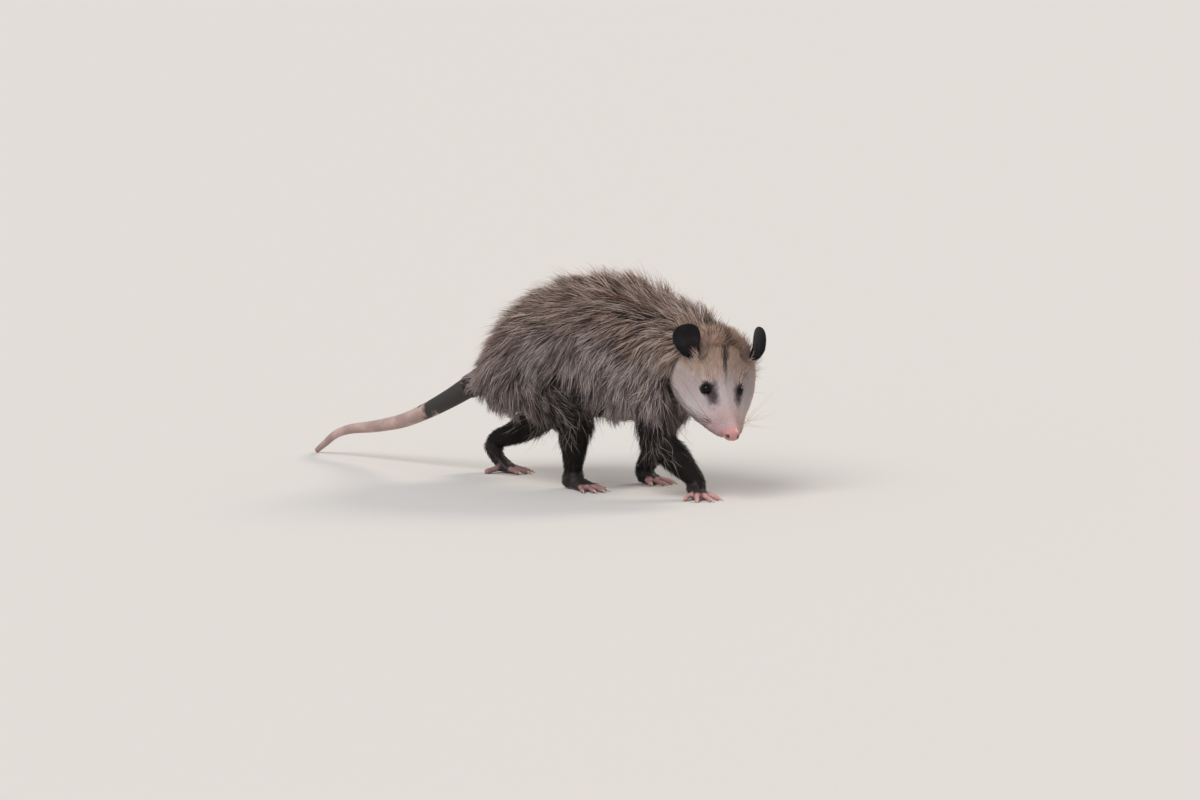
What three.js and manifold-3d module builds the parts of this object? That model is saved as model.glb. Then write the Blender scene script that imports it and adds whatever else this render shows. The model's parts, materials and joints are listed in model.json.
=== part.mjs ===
// A Virginia opossum at life size, walking: about 0.41 m of head and body and 0.31 m of tail.
// Millimetres, +Z up, +X ahead, +Y to the animal's left. The floor is Z = 0, under the middle of its box.
// The body is drawn about a point on the floor under the middle of the trunk, and then moved so.
import * as THREE from "three";
import { mergeVertices } from "three/addons/utils/BufferGeometryUtils.js";
import Module from "manifold-3d";

const wasm = await Module();
wasm.setup();

// Driving sizes
const GAP = 0.3; // between two pieces that touch
const SHORTEST = 0.05; // detail smaller than this is dropped

// The trunk's core, from rump to chest: distance ahead, top, underside and half width.
// Half of the coat's depth is outside it.
const TRUNK = [
  [-131, 113, 100, 9],
  [-124, 131, 86, 28],
  [-106, 157, 73, 45],
  [-75, 185, 64, 55],
  [-35, 205, 66, 60],
  [10, 215, 67, 61],
  [55, 214, 66, 58],
  [92, 202, 70, 50],
  [113, 188, 80, 41],
  [126, 170, 98, 28],
  [131, 152, 118, 9],
];
const TRUNK_MIDDLE = 0.47; // height of the widest line, as a share of the depth
const TRUNK_SWING = -0.00012; // sideways bend of the back, towards the right ahead

// The neck's core: distance ahead, left, height of its middle, half width, half height
const NECK = [
  [92, -1, 150, 34, 36],
  [108, -2, 149, 43, 46],
  [124, -4, 148, 46, 45],
  [140, -6, 146, 45, 40],
  [152, -9, 142, 40, 34],
];

// The head's own frame: its origin midway between the eyes, ahead along the snout
const HEAD_AT = new THREE.Vector3(178.5, -27.5, 114.8);
const HEAD_YAW = -44;
const HEAD_PITCH = 43;
const HEAD_ROLL = -6;
// From the back of the skull to the snout: ahead, top, underside, half width, height of the widest line,
// and how round the upper half is, where 2 is an ellipse and less is more of a ridge
const HEAD = [
  [-67, 18, -22, 18, -4, 2],
  [-62, 26, -36, 33, -7, 2],
  [-48, 31, -46, 45, -10, 1.9],
  [-31, 27.5, -50.5, 48, -13, 1.7],
  [-15, 20, -50, 45.5, -17, 1.15],
  [0, 12, -46, 39, -19, 0.72],
  [12, 8, -42, 32, -20, 0.75],
  [24, 5, -37, 25, -18.5, 0.9],
  [36, 1.8, -30.5, 18.5, -15, 1.2],
  [44, -0.3, -24, 13.4, -12, 1.6],
  [49, -2, -18.5, 10, -10, 2],
];
const NOSE = [
  [49, -2.4, -15.6, 8.8, -9.2, 2],
  [52.5, -1.4, -15.4, 9.3, -8.6, 2],
  [56.5, -1.8, -14.4, 8.7, -8, 2],
  [59, -3.8, -12.6, 6.2, -7.8, 2],
  [60.4, -6, -10.4, 2.8, -7.8, 2],
];
const NOSTRIL = { at: [58, 5.8, -6.4], size: [3.6, 1.8, 2.4] };
const EYE = { at: [-1.3, 17.6, 0.1], radius: 5.3, look: [0.5, 0.7, 0.5] };
const LID = { radius: 5.1, thick: 1.25, ahead: 1.7 };
// The mouth's line, from its corner to the chin: ahead and height
const MOUTH = [
  [2, -28],
  [12, -26.5],
  [24, -22.5],
  [36, -18.5],
  [46, -15.5],
];
const LIP = { deep: 2.4, open: 2.4 };
// An ear: the middle of its rim, the way its length and its hollow point, and the root on the skull
const EAR = {
  middle: [-42.3, 41.3, 31.7],
  root: [-34, 28, 17],
  up: [-0.84, 0.09, 0.54],
  face: [0.45, 0.68, 0.58],
  long: 16.4,
  wide: 16.8,
  cup: 6,
  thick: 1.5,
};

// Rows of locks on a limb, as shares of its length, how far apart they grow, and their size
const FORE_LOCKS = [
  { rows: [0.22, 0.35], apart: 27, long: 40, wide: 20, rise: 8 },
  { rows: [0.5], apart: 20, long: 30, wide: 14, rise: 6 },
];
const HIND_LOCKS = [
  { rows: [0.22, 0.36], apart: 31, long: 44, wide: 23, rise: 9 },
  { rows: [0.52], apart: 21, long: 30, wide: 15, rise: 6 },
];

// Limbs: points from the root in the trunk to the foot, each with its half width
const LIMBS = {
  foreleg_right: {
    path: [
      [96, -21, 126, 24],
      [103, -38, 93, 23],
      [109, -46, 64, 18.5],
      [132, -46, 42, 14],
      [153, -45, 22, 9.5],
      [156, -46, 14, 9],
    ],
    locks: FORE_LOCKS,
  },
  foreleg_left: {
    path: [
      [94, 20, 126, 24],
      [84, 35, 93, 21],
      [69, 37, 63, 15.5],
      [60, 34, 38, 11.5],
      [51, 31, 19, 9],
      [50, 31, 12, 9],
    ],
    locks: FORE_LOCKS,
  },
  hindleg_right: {
    path: [
      [-60, -19, 121, 30],
      [-31, -33, 101, 30],
      [0, -42, 80, 23],
      [5, -43, 52, 14.5],
      [3, -41, 24, 9.5],
      [3, -41, 14, 9.5],
    ],
    locks: HIND_LOCKS,
  },
  hindleg_left: {
    path: [
      [-82, 19, 122, 30],
      [-78, 32, 97, 29],
      [-78, 37, 73, 21],
      [-105, 36, 50, 13.5],
      [-134, 35, 37, 9.5],
      [-141, 35, 31, 8.5],
    ],
    locks: HIND_LOCKS,
  },
};

// A foot in its own frame on the floor, ahead along the toes: the sole's sections from the heel, as
// distance ahead, height of the middle, half width and half height; and the toes' roots and their turn
const FEET = {
  fore: {
    sole: [
      [-7, 8, 6.5, 5.5],
      [-1, 9, 8.5, 8.6],
      [7, 7, 10, 6.6],
      [13, 5.4, 9.5, 5],
      [16, 4.8, 6, 3.4],
    ],
    toes: [
      { turn: 60, from: [3, 8], long: 12 },
      { turn: 31, from: [10, 7.5], long: 15 },
      { turn: 4, from: [13, 1.5], long: 17 },
      { turn: -24, from: [11.5, -5], long: 16 },
      { turn: -54, from: [5, -8.5], long: 12.5 },
    ],
  },
  hind: {
    sole: [
      [-13, 7, 5, 5],
      [-8, 8, 7.8, 8],
      [4, 8, 8.6, 7.8],
      [18, 6, 10.4, 5.8],
      [27, 4.6, 9.6, 4.4],
      [31, 4.4, 6, 3],
    ],
    toes: [
      { turn: 20, from: [23, 7.5], long: 17 },
      { turn: 5, from: [26, 2.5], long: 19 },
      { turn: -9, from: [25.5, -3], long: 18 },
      { turn: -26, from: [22, -8], long: 15 },
    ],
    thumb: { turn: 74, from: [9, 7], long: 16, thick: 4 },
  },
  // pushing off, with the heel high
  push: {
    sole: [
      [-12, 33, 6, 6.5],
      [-10, 27, 8, 7.5],
      [-3, 15, 8, 7],
      [6, 7.5, 9.5, 6.5],
      [14, 4.8, 9.6, 4.6],
      [19, 4.4, 6, 3],
    ],
    toes: [
      { turn: 20, from: [11, 7.5], long: 17 },
      { turn: 5, from: [14, 2.5], long: 19 },
      { turn: -9, from: [13.5, -3], long: 18 },
      { turn: -26, from: [10, -8], long: 15 },
    ],
    thumb: { turn: 128, from: [2, 6], long: 17, thick: 4 },
  },
};
const TOE = { thick: 3.1, tip: 2.3, claw: 6.5, clawThick: 1.25, root: 4.6, press: 0.6 };
// The feet's places on the floor and the way they point
const PAWS = {
  forepaw_right: { foot: FEET.fore, at: [156, -46], turn: -34, side: -1 },
  forepaw_left: { foot: FEET.fore, at: [50, 31], turn: 22, side: 1 },
  hindpaw_right: { foot: FEET.hind, at: [3, -41], turn: -22, side: -1 },
  hindpaw_left: { foot: FEET.push, at: [-132, 35], turn: 5, side: 1 },
};
const PAW_OF = {
  foreleg_right: "forepaw_right",
  foreleg_left: "forepaw_left",
  hindleg_right: "hindpaw_right",
  hindleg_left: "hindpaw_left",
};

// The tail's middle line and half thickness, from inside the rump to the tip on the floor
const TAIL = [
  [-104, 1, 116, 15],
  [-128, 4, 107, 13.8],
  [-154, 8, 96, 12],
  [-184, 14, 80, 10.4],
  [-220, 24, 63, 8.9],
  [-258, 36, 48.5, 7.7],
  [-300, 48, 38.5, 6.6],
  [-338, 58, 32, 5.4],
  [-362, 64, 24, 4.5],
  [-381, 70, 11.5, 3.7],
  [-395, 76, 2.4, 2.9],
];
const TAIL_CUTS = [0.37, 0.59, 0.8]; // where the tail is divided, as shares of its length
const TAIL_NAMES = ["tail_root", "tail_upper", "tail_middle", "tail_tip"];

// The coat on the trunk and neck: rows of flat locks, how far apart they grow round the body, and how
// far their tips rise from the core, with more along the back
const COAT = {
  rows: 10,
  apart: 30.5,
  length: 50,
  width: 23,
  thick: 4.4,
  sink: 4,
  rise: 11,
  raised: 19,
};
const SEED = 20;

// Small tools
const vec = (x, y, z) => new THREE.Vector3(x, y, z);
const radians = THREE.MathUtils.degToRad;

function randomFrom(seed) {
  let state = seed;
  return () => {
    state = (state + 0x6d2b79f5) | 0;
    let t = Math.imul(state ^ (state >>> 15), 1 | state);
    t = (t + Math.imul(t ^ (t >>> 7), 61 | t)) ^ t;
    return ((t ^ (t >>> 14)) >>> 0) / 4294967296;
  };
}
const random = randomFrom(SEED);
const spread = (middle, by) => middle * (1 + by * (2 * random() - 1));

// A smooth value through the rows of a table at share t of the way along them.
function along(rows, t, column) {
  const place = THREE.MathUtils.clamp(t, 0, 1) * (rows.length - 1);
  const i = Math.min(Math.floor(place), rows.length - 2);
  const f = place - i;
  const at = (k) => rows[THREE.MathUtils.clamp(k, 0, rows.length - 1)][column];
  const [a, b, c, d] = [at(i - 1), at(i), at(i + 1), at(i + 2)];
  return b + 0.5 * f * (c - a + f * (2 * a - 5 * b + 4 * c - d + f * (3 * (b - c) + d - a)));
}

const rounded = (value, power) => Math.sign(value) * Math.abs(value) ** (2 / power);

// A closed skin over rings that all have the same number of points. The last ring may be a single point.
function skinOver(rings) {
  const sides = rings[0].length;
  const points = rings.flat();
  const faces = [];
  for (let r = 0; r + 1 < rings.length; r++) {
    const pointed = rings[r + 1].length === 1;
    for (let k = 0; k < sides; k++) {
      const a = r * sides + k;
      const b = r * sides + ((k + 1) % sides);
      if (pointed) faces.push(a, b, (r + 1) * sides);
      else faces.push(a, b, b + sides, a, b + sides, a + sides);
    }
  }
  for (let k = 2; k < sides; k++) faces.push(0, k, k - 1);
  const end = (rings.length - 1) * sides;
  if (rings[rings.length - 1].length > 1) {
    for (let k = 2; k < sides; k++) faces.push(end, end + k - 1, end + k);
  }
  return new THREE.BufferGeometry().setFromPoints(points).setIndex(faces);
}

// A surface round a line: the point and the outward direction at share u along it and angle a round it.
class Tube {
  constructor(place) {
    this.place = place;
  }
  point(u, a, out = 0) {
    const s = this.place(THREE.MathUtils.clamp(u, 0, 1));
    const x = (s.wide + out) * rounded(Math.cos(a), 2);
    const high = Math.sin(a) > 0 ? s.top : s.bottom;
    const z = (high + out) * rounded(Math.sin(a), Math.sin(a) > 0 ? s.round : 2);
    return s.at.clone().addScaledVector(s.side, x).addScaledVector(s.up, z);
  }
  outward(u, a) {
    const step = 0.02;
    const low = Math.max(u - step, 0.01);
    const ahead = this.point(Math.min(low + 2 * step, 0.99), a).sub(this.point(low, a));
    const round = this.point(u, a + step).sub(this.point(u, a - step));
    const normal = round.cross(ahead).normalize();
    return normal.dot(this.point(u, a).sub(this.place(u).at)) < 0 ? normal.negate() : normal;
  }
  rings(count, sides, out = 0) {
    const turn = (k) => (2 * Math.PI * (k + 0.5)) / sides;
    return Array.from({ length: count }, (_, r) =>
      Array.from({ length: sides }, (_, k) => this.point(r / (count - 1), turn(k), out)),
    );
  }
  skin(count, sides, out = 0) {
    return skinOver(this.rings(count, sides, out));
  }
  // The same form as a chain of convex links, which stays sound where the tube bends sharply.
  links(count, sides, out = 0) {
    const rings = this.rings(count, sides, out).map((ring) => ring.map((p) => p.toArray()));
    return join(rings.slice(1).map((ring, i) => wasm.Manifold.hull([...rings[i], ...ring])));
  }
}

// Manifold solids from three.js geometry, and back.
function solid(geometry) {
  const bare = new THREE.BufferGeometry().setAttribute("position", geometry.getAttribute("position"));
  if (geometry.index) bare.setIndex(geometry.index);
  const merged = mergeVertices(bare, 1e-4);
  const made = new wasm.Manifold(
    new wasm.Mesh({
      numProp: 3,
      vertProperties: new Float32Array(merged.attributes.position.array),
      triVerts: new Uint32Array(merged.index.array),
    }),
  );
  if (made.volume() > 0) return made;
  const turned = merged.index.array.slice().reverse();
  return new wasm.Manifold(
    new wasm.Mesh({
      numProp: 3,
      vertProperties: new Float32Array(merged.attributes.position.array),
      triVerts: new Uint32Array(turned),
    }),
  );
}
const join = (solids) => solids.reduce((all, one) => all.add(one));
const cut = (body, tools) => tools.reduce((left, tool) => left.subtract(tool), body);

// The same solid, a little larger all round, to cut a neighbour clear of it.
function grown(body, by) {
  const geometry = geometryOf(body);
  geometry.computeVertexNormals();
  const points = geometry.attributes.position.array;
  const normals = geometry.attributes.normal.array;
  const moved = points.map((value, i) => value + by * normals[i]);
  geometry.setAttribute("position", new THREE.BufferAttribute(moved, 3));
  return solid(geometry);
}

// The one main piece of a solid, without its shortest edges.
function largest(body) {
  return body.simplify(SHORTEST).decompose().sort((a, b) => b.volume() - a.volume())[0];
}

function geometryOf(body) {
  const raw = body.getMesh();
  const points = new Float32Array(raw.numVert * 3);
  for (let i = 0; i < raw.numVert; i++) {
    points.set(raw.vertProperties.subarray(i * raw.numProp, i * raw.numProp + 3), i * 3);
  }
  const geometry = new THREE.BufferGeometry();
  geometry.setAttribute("position", new THREE.BufferAttribute(points, 3));
  geometry.setIndex(new THREE.BufferAttribute(new Uint32Array(raw.triVerts), 1));
  return geometry;
}

// The trunk, neck, limbs and tail as tubes

function trunkPlace(u) {
  const [x, top, bottom, wide] = [0, 1, 2, 3].map((column) => along(TRUNK, u, column));
  const middle = bottom + TRUNK_MIDDLE * (top - bottom);
  return {
    at: vec(x, TRUNK_SWING * (x + 60) * Math.abs(x + 60), middle),
    side: vec(0, -1, 0),
    up: vec(0, 0, 1),
    wide,
    top: top - middle,
    bottom: middle - bottom,
    round: 2.1,
  };
}

function neckPlace(u) {
  const [x, y, z, wide, high] = [0, 1, 2, 3, 4].map((column) => along(NECK, u, column));
  const lean = 0.35 * u;
  return {
    at: vec(x, y, z),
    side: vec(-lean * 0.5, -1, 0).normalize(),
    up: vec(lean, 0, 1).normalize(),
    wide,
    top: high,
    bottom: high,
    round: 2,
  };
}

// A limb or tail: round sections across a smooth line through its points.
function limbPlace(rows) {
  const middle = (u) => vec(...[0, 1, 2].map((column) => along(rows, u, column)));
  return (u) => {
    const ahead = middle(Math.min(u + 0.01, 1)).sub(middle(Math.max(u - 0.01, 0))).normalize();
    const side = vec(0, 1, 0).addScaledVector(ahead, -ahead.y).normalize();
    const wide = along(rows, u, 3);
    return {
      at: middle(u),
      side,
      up: ahead.clone().cross(side),
      wide,
      top: wide,
      bottom: wide,
      round: 2,
    };
  };
}

const trunk = new Tube(trunkPlace);
const neck = new Tube(neckPlace);
const tail = new Tube(limbPlace(TAIL));

// One flat, tapered lock that follows the surface of a tube from its sunk root, rising to its tip.
// It leaves at an angle to the tube's length, its slant, and curls further round by its sweep.
const LOCK_STEPS = [
  { share: 0, wide: 0.72, thick: 1 },
  { share: 0.34, wide: 1, thick: 1 },
  { share: 0.7, wide: 0.66, thick: 0.7 },
];
const LOCK_WALK = 9; // steps of the walk over the surface
const TUBE_END = 0.02; // beyond this share a lock goes straight on

function walkOver(tube, u, angle, form) {
  const eps = 0.01;
  const step = form.length / LOCK_WALK;
  const way = [{ point: tube.point(u, angle), out: tube.outward(u, angle) }];
  let heading = null;
  for (let k = 0; k < LOCK_WALK; k++) {
    const last = way[way.length - 1];
    const slant = radians(form.slant + (form.sweep * k) / LOCK_WALK);
    const here = tube.point(u, angle);
    const lengthways = tube.point(u + (u < 0.5 ? eps : -eps), angle).distanceTo(here);
    const round = tube.point(u, angle + eps).distanceTo(here);
    const on = u - (Math.cos(slant) * step * eps) / lengthways;
    let out = last.out;
    if (on > TUBE_END && on < 1 - TUBE_END) {
      u = on;
      angle += (form.turn * Math.sin(slant) * step * eps) / round;
      heading = tube.point(u, angle).sub(here).setLength(step);
      out = tube.outward(u, angle);
    } else {
      heading ??= tube.point(TUBE_END, angle).sub(tube.point(4 * TUBE_END, angle)).setLength(step);
    }
    way.push({ point: last.point.clone().add(heading), out });
  }
  return way;
}

// The lock's sections and its tip, a little larger all round by the extra.
function lockRings(tube, u, angle, form, extra) {
  const way = walkOver(tube, u, angle, form);
  const section = (share) => {
    const i = Math.min(Math.floor(share * LOCK_WALK), LOCK_WALK - 1);
    const f = share * LOCK_WALK - i;
    const ahead = way[i + 1].point.clone().sub(way[i].point).normalize();
    const outward = way[i].out.clone().lerp(way[i + 1].out, f).lerp(way[0].out, 0.3);
    const across = outward.cross(ahead).normalize();
    const out = ahead.clone().cross(across);
    const rise = (form.sink + form.rise) * share ** form.lift - form.sink;
    const at = way[i].point.clone().lerp(way[i + 1].point, f);
    at.addScaledVector(out, rise).addScaledVector(across, form.bend * share * share);
    return { at, across, out, ahead };
  };
  const rings = LOCK_STEPS.map(({ share, wide, thick }) => {
    const { at, across, out } = section(share);
    const w = 0.5 * form.width * wide + 5 * extra;
    const t = 0.5 * form.thick * thick;
    const flat = at.clone().addScaledVector(out, -t - extra);
    return [
      flat.clone().addScaledVector(across, w),
      at.clone().addScaledVector(out, t + 1.5 * extra),
      flat.clone().addScaledVector(across, -w),
    ];
  });
  const root = section(0);
  rings[0].forEach((p) => p.addScaledVector(root.ahead, -4 * extra));
  const last = section(LOCK_STEPS[LOCK_STEPS.length - 1].share).at;
  const tip = section(1).at;
  rings.push([tip.clone().add(tip.clone().sub(last).setLength(4 * extra))]);
  return rings;
}

// Whether the surface lets a lock lie without a fold, as it can't in the crook of a knee.
function liesFlat(tube, u, angle, form) {
  const way = walkOver(tube, u, angle, form);
  const steps = way.slice(1).map(({ point }, i) => point.clone().sub(way[i].point).normalize());
  return steps.slice(1).every((step, i) => step.dot(steps[i]) > 0.5 && way[i + 1].out.dot(way[i].out) > 0.4);
}

// Rows of locks over a tube, set alternately. keep says whether a lock grows at a place, and shape varies it.
function coatOver(tube, rows, spacing, keep, shape) {
  const locks = [];
  rows.forEach((u, row) => {
    const place = tube.place(u);
    const girth = 2 * Math.PI * Math.sqrt((place.wide ** 2 + ((place.top + place.bottom) / 2) ** 2) / 2);
    const count = Math.max(5, Math.round(girth / spacing));
    for (let k = 0; k < count; k++) {
      const angle = (2 * Math.PI * (k + (row % 2 ? 0.5 : 0) + 0.25 * (random() - 0.5))) / count;
      const at = u + (0.3 * (random() - 0.5)) / rows.length;
      const form = shape(at, angle);
      if (!keep(tube.point(at, angle)) || !liesFlat(tube, at, angle, form)) continue;
      locks.push((extra) => lockRings(tube, at, angle, form, extra));
    }
  });
  return locks;
}
const locksOf = (locks) => locks.map((lock) => solid(skinOver(lock(0))));

// Room for the locks, to cut a neighbour clear of them: convex links with a margin.
function roomFor(locks, margin) {
  return locks.flatMap((lock) => {
    const rings = lock(margin).map((ring) => ring.map((p) => p.toArray()));
    return rings.slice(1).map((ring, i) => wasm.Manifold.hull([...rings[i], ...ring]));
  });
}

// The way the coat lies: back along the spine, further down the lower it grows, and raised along the back.
function bodyLock(u, angle) {
  const height = Math.sin(angle);
  const side = Math.cos(angle) >= 0 ? 1 : -1;
  const back = Math.max(0, height - 0.25) / 0.75;
  const ends = Math.max(0, 0.45 - u, u - 0.65) / 0.3;
  const under = height < -0.6;
  return {
    length: spread(COAT.length, 0.12),
    width: spread(COAT.width, 0.12),
    thick: COAT.thick,
    sink: COAT.sink,
    slant: (under ? 22 : 52 * (1 - back * back)) + 4 + 12 * (random() - 0.5),
    sweep: 10,
    turn: -side,
    rise: spread(COAT.rise + COAT.raised * back * back * Math.max(0, 1 - ends), 0.15),
    lift: 0.6 + 0.2 * back,
    bend: 8 * (random() - 0.5),
  };
}

// On a limb the coat lies down towards the foot.
function limbLock({ long, wide, rise }) {
  return () => ({
    length: spread(long, 0.15),
    width: spread(wide, 0.12),
    thick: 3.6,
    sink: 4,
    slant: 180 + 14 * (random() - 0.5),
    sweep: 0,
    turn: 1,
    rise: spread(rise, 0.2),
    lift: 0.7,
    bend: 4 * (random() - 0.5),
  });
}

// Head

const headAhead = vec(1, 0, 0)
  .applyAxisAngle(vec(0, 1, 0), radians(HEAD_PITCH))
  .applyAxisAngle(vec(0, 0, 1), radians(HEAD_YAW));
const headLeftLevel = vec(0, 0, 1).cross(headAhead).normalize();
const headLeft = headLeftLevel.clone().applyAxisAngle(headAhead, radians(HEAD_ROLL));
const headUp = headAhead.clone().cross(headLeft);
const HEAD_MESH = [16, 20]; // sections and sides
const HEAD_FRAME = new THREE.Matrix4().makeBasis(headAhead, headLeft, headUp).setPosition(HEAD_AT);

function facePlace(rows) {
  return (u) => {
    const [x, top, bottom, wide, middle, round] = [0, 1, 2, 3, 4, 5].map((column) => along(rows, u, column));
    return {
      at: vec(x, 0, middle),
      side: vec(0, -1, 0),
      up: vec(0, 0, 1),
      wide,
      top: top - middle,
      bottom: middle - bottom,
      round,
    };
  };
}

// A ball of its own three sizes, with its poles along the given direction.
function ball(at, sizes, look, across, down) {
  const geometry = new THREE.SphereGeometry(1, across, down);
  geometry.scale(...sizes);
  geometry.applyQuaternion(new THREE.Quaternion().setFromUnitVectors(vec(0, 1, 0), look.clone().normalize()));
  return solid(geometry.translate(...at));
}

// The groove under the upper lip, from one corner of the mouth round the chin to the other.
function mouthGroove(face) {
  const onSide = ([x, z]) => {
    const shares = Array.from({ length: 101 }, (_, i) => i / 100);
    const sections = shares.map(face).sort((a, b) => Math.abs(a.at.x - x) - Math.abs(b.at.x - x));
    const s = sections[0];
    const drop = THREE.MathUtils.clamp((s.at.z - z) / s.bottom, 0, 0.97);
    return vec(x, s.wide * Math.sqrt(1 - drop * drop), z);
  };
  const left = MOUTH.map(onSide);
  const last = left[left.length - 1];
  const chin = vec(last.x + 4.5, 0, last.z + 0.5);
  const mirrored = left.map((p) => vec(p.x, -p.y, p.z)).reverse();
  const line = [...left, chin, ...mirrored];
  const rings = line.map((p, i) => {
    const ahead = line[Math.min(i + 1, line.length - 1)].clone().sub(line[Math.max(i - 1, 0)]);
    const out = ahead.cross(vec(0, 0, 1)).normalize().negate();
    if (out.y * p.y < 0 || (p.y === 0 && out.x < 0)) out.negate();
    const ends = i === 0 || i === line.length - 1;
    const deep = p.clone().addScaledVector(out, ends ? -0.6 : -LIP.deep);
    const over = p.clone().addScaledVector(out, 4);
    return [deep, over, over.clone().add(vec(0, 0, -LIP.open))];
  });
  return solid(skinOver(rings));
}

// An ear: a thin cupped leaf from its root on the skull to the round rim.
function earSolid(side, margin = 0) {
  const mirror = vec(1, side, 1);
  const up = vec(...EAR.up).multiply(mirror).normalize();
  const face = vec(...EAR.face).multiply(mirror);
  face.addScaledVector(up, -face.dot(up)).normalize();
  const across = up.clone().cross(face);
  const middle = vec(...EAR.middle).multiply(mirror);
  const root = vec(...EAR.root).multiply(mirror).addScaledVector(up, -0.5 * margin);
  const rows = 6;
  const columns = 6;
  const sheet = (back) => {
    const points = [];
    for (let r = 0; r <= rows; r++) {
      const v = r / rows;
      const height = 2 * v - 1;
      const stem = 0.42 + 0.58 * Math.sin((Math.PI * v) / 1.1);
      const wide = EAR.wide * (v < 0.55 ? stem : Math.sqrt(1.02 - (2.22 * (v - 0.55)) ** 2));
      const line = middle.clone().addScaledVector(up, (EAR.long + margin) * height);
      line.addScaledVector(face, -EAR.cup * (1 - v * v)).lerp(root, (1 - Math.min(1, v / 0.35)) ** 1.4);
      for (let c = 0; c <= columns; c++) {
        const w = (2 * c) / columns - 1;
        const curl = EAR.cup * w * w * (1.25 - v);
        points.push(
          line
            .clone()
            .addScaledVector(across, (wide + margin) * w * (1 - 0.12 * w * w * (1 - v)))
            .addScaledVector(up, -1.5 * w * w * v)
            .addScaledVector(face, curl - (back ? EAR.thick : 0)),
        );
      }
    }
    return points;
  };
  const points = [...sheet(false), ...sheet(true)];
  const row = columns + 1;
  const half = row * (rows + 1);
  const faces = [];
  for (let r = 0; r < rows; r++) {
    for (let c = 0; c < columns; c++) {
      const a = r * row + c;
      faces.push(a, a + 1, a + row + 1, a, a + row + 1, a + row);
      faces.push(half + a, half + a + row + 1, half + a + 1, half + a, half + a + row, half + a + row + 1);
    }
  }
  const wall = (a, b) => faces.push(a, half + a, half + b, a, half + b, b);
  for (let c = 0; c < columns; c++) {
    wall(c, c + 1);
    wall(rows * row + c + 1, rows * row + c);
  }
  for (let r = 0; r < rows; r++) {
    wall((r + 1) * row, r * row);
    wall(r * row + columns, (r + 1) * row + columns);
  }
  return solid(new THREE.BufferGeometry().setFromPoints(points).setIndex(faces));
}

function headSolids() {
  const face = facePlace(HEAD);
  let head = solid(new Tube(face).skin(...HEAD_MESH));
  const eyes = {};
  for (const [name, side] of [["left", 1], ["right", -1]]) {
    const mirror = vec(1, side, 1);
    const at = vec(...EYE.at).multiply(mirror);
    const look = vec(...EYE.look).multiply(mirror).normalize();
    const ring = new THREE.TorusGeometry(LID.radius, LID.thick, 6, 14);
    ring.applyQuaternion(new THREE.Quaternion().setFromUnitVectors(vec(0, 0, 1), look));
    ring.translate(...at.clone().addScaledVector(look, LID.ahead));
    head = head.add(solid(ring));
    eyes[`eye_${name}`] = ball(at, [EYE.radius, EYE.radius, EYE.radius], look, 10, 7);
  }
  head = cut(head, [...Object.values(eyes).map((eye) => grown(eye, GAP + 0.15)), mouthGroove(face)]);
  let nose = solid(new Tube(facePlace(NOSE)).skin(7, 12));
  for (const side of [1, -1]) {
    const [x, y, z] = NOSTRIL.at;
    nose = nose.subtract(ball([x, side * y, z], NOSTRIL.size, vec(0.6, side * 0.8, 0.2), 7, 5));
  }
  nose = nose.trimByPlane([1, 0, 0], HEAD[HEAD.length - 1][0] + GAP);
  const placed = {};
  const all = { head: largest(head), nose, ...eyes, ear_left: earSolid(1), ear_right: earSolid(-1) };
  for (const [name, body] of Object.entries(all)) placed[name] = body.transform(HEAD_FRAME.elements);
  return placed;
}

// Feet

// A toe with its claw, from its root over a low knuckle to the floor.
function toeSolid(toe, side, clawed) {
  const turn = radians(toe.turn * side);
  const ahead = vec(Math.cos(turn), Math.sin(turn), 0);
  const root = vec(toe.from[0], toe.from[1] * side, TOE.root);
  const thick = toe.thick ?? TOE.thick;
  const rows = [
    [-0.35, 0.6, 1],
    [0.25, 1, 1],
    [0.7, -0.9, 0.95],
    [1, -2.2, TOE.tip / TOE.thick],
  ].map(([share, lift, size]) => {
    const at = root.clone().addScaledVector(ahead, toe.long * share);
    return [at.x, at.y, at.z + lift, size * thick];
  });
  const pieces = [solid(new Tube(limbPlace(rows)).skin(4, 5))];
  if (clawed) {
    const [x, y, z] = rows[rows.length - 1];
    const claw = [
      [-2, 0.6, TOE.clawThick],
      [2.5, 0.8, TOE.clawThick * 0.9],
      [TOE.claw, -1.4, 0.25],
    ].map(([out, lift, size]) => [x + ahead.x * out, y + ahead.y * out, z + lift, size]);
    pieces.push(solid(new Tube(limbPlace(claw)).skin(3, 4)));
  }
  return join(pieces);
}

function pawSolid({ foot, at, turn, side }) {
  const place = (u) => {
    const [x, z, wide, high] = [0, 1, 2, 3].map((column) => along(foot.sole, u, column));
    const slope = along(foot.sole, Math.min(u + 0.05, 1), 1) - along(foot.sole, Math.max(u - 0.05, 0), 1);
    const run = along(foot.sole, Math.min(u + 0.05, 1), 0) - along(foot.sole, Math.max(u - 0.05, 0), 0);
    const up = vec(-slope, 0, run).normalize();
    return { at: vec(x, 0, z), side: vec(0, -1, 0), up, wide, top: high, bottom: high, round: 2 };
  };
  const toes = foot.toes.map((toe) => toeSolid(toe, -side, true));
  if (foot.thumb) toes.push(toeSolid(foot.thumb, -side, false));
  const frame = new THREE.Matrix4().makeRotationZ(radians(turn)).setPosition(at[0], at[1], 0);
  const whole = join([solid(new Tube(place).skin(6, 7)), ...toes]).translate([0, 0, -TOE.press]);
  return whole.transform(frame.elements).trimByPlane([0, 0, 1], 0);
}

// Putting the animal together

const parts = headSolids();
const headPlain = solid(new Tube(facePlace(HEAD)).skin(...HEAD_MESH));
const headFat = grown(headPlain.transform(HEAD_FRAME.elements), GAP);

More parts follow.
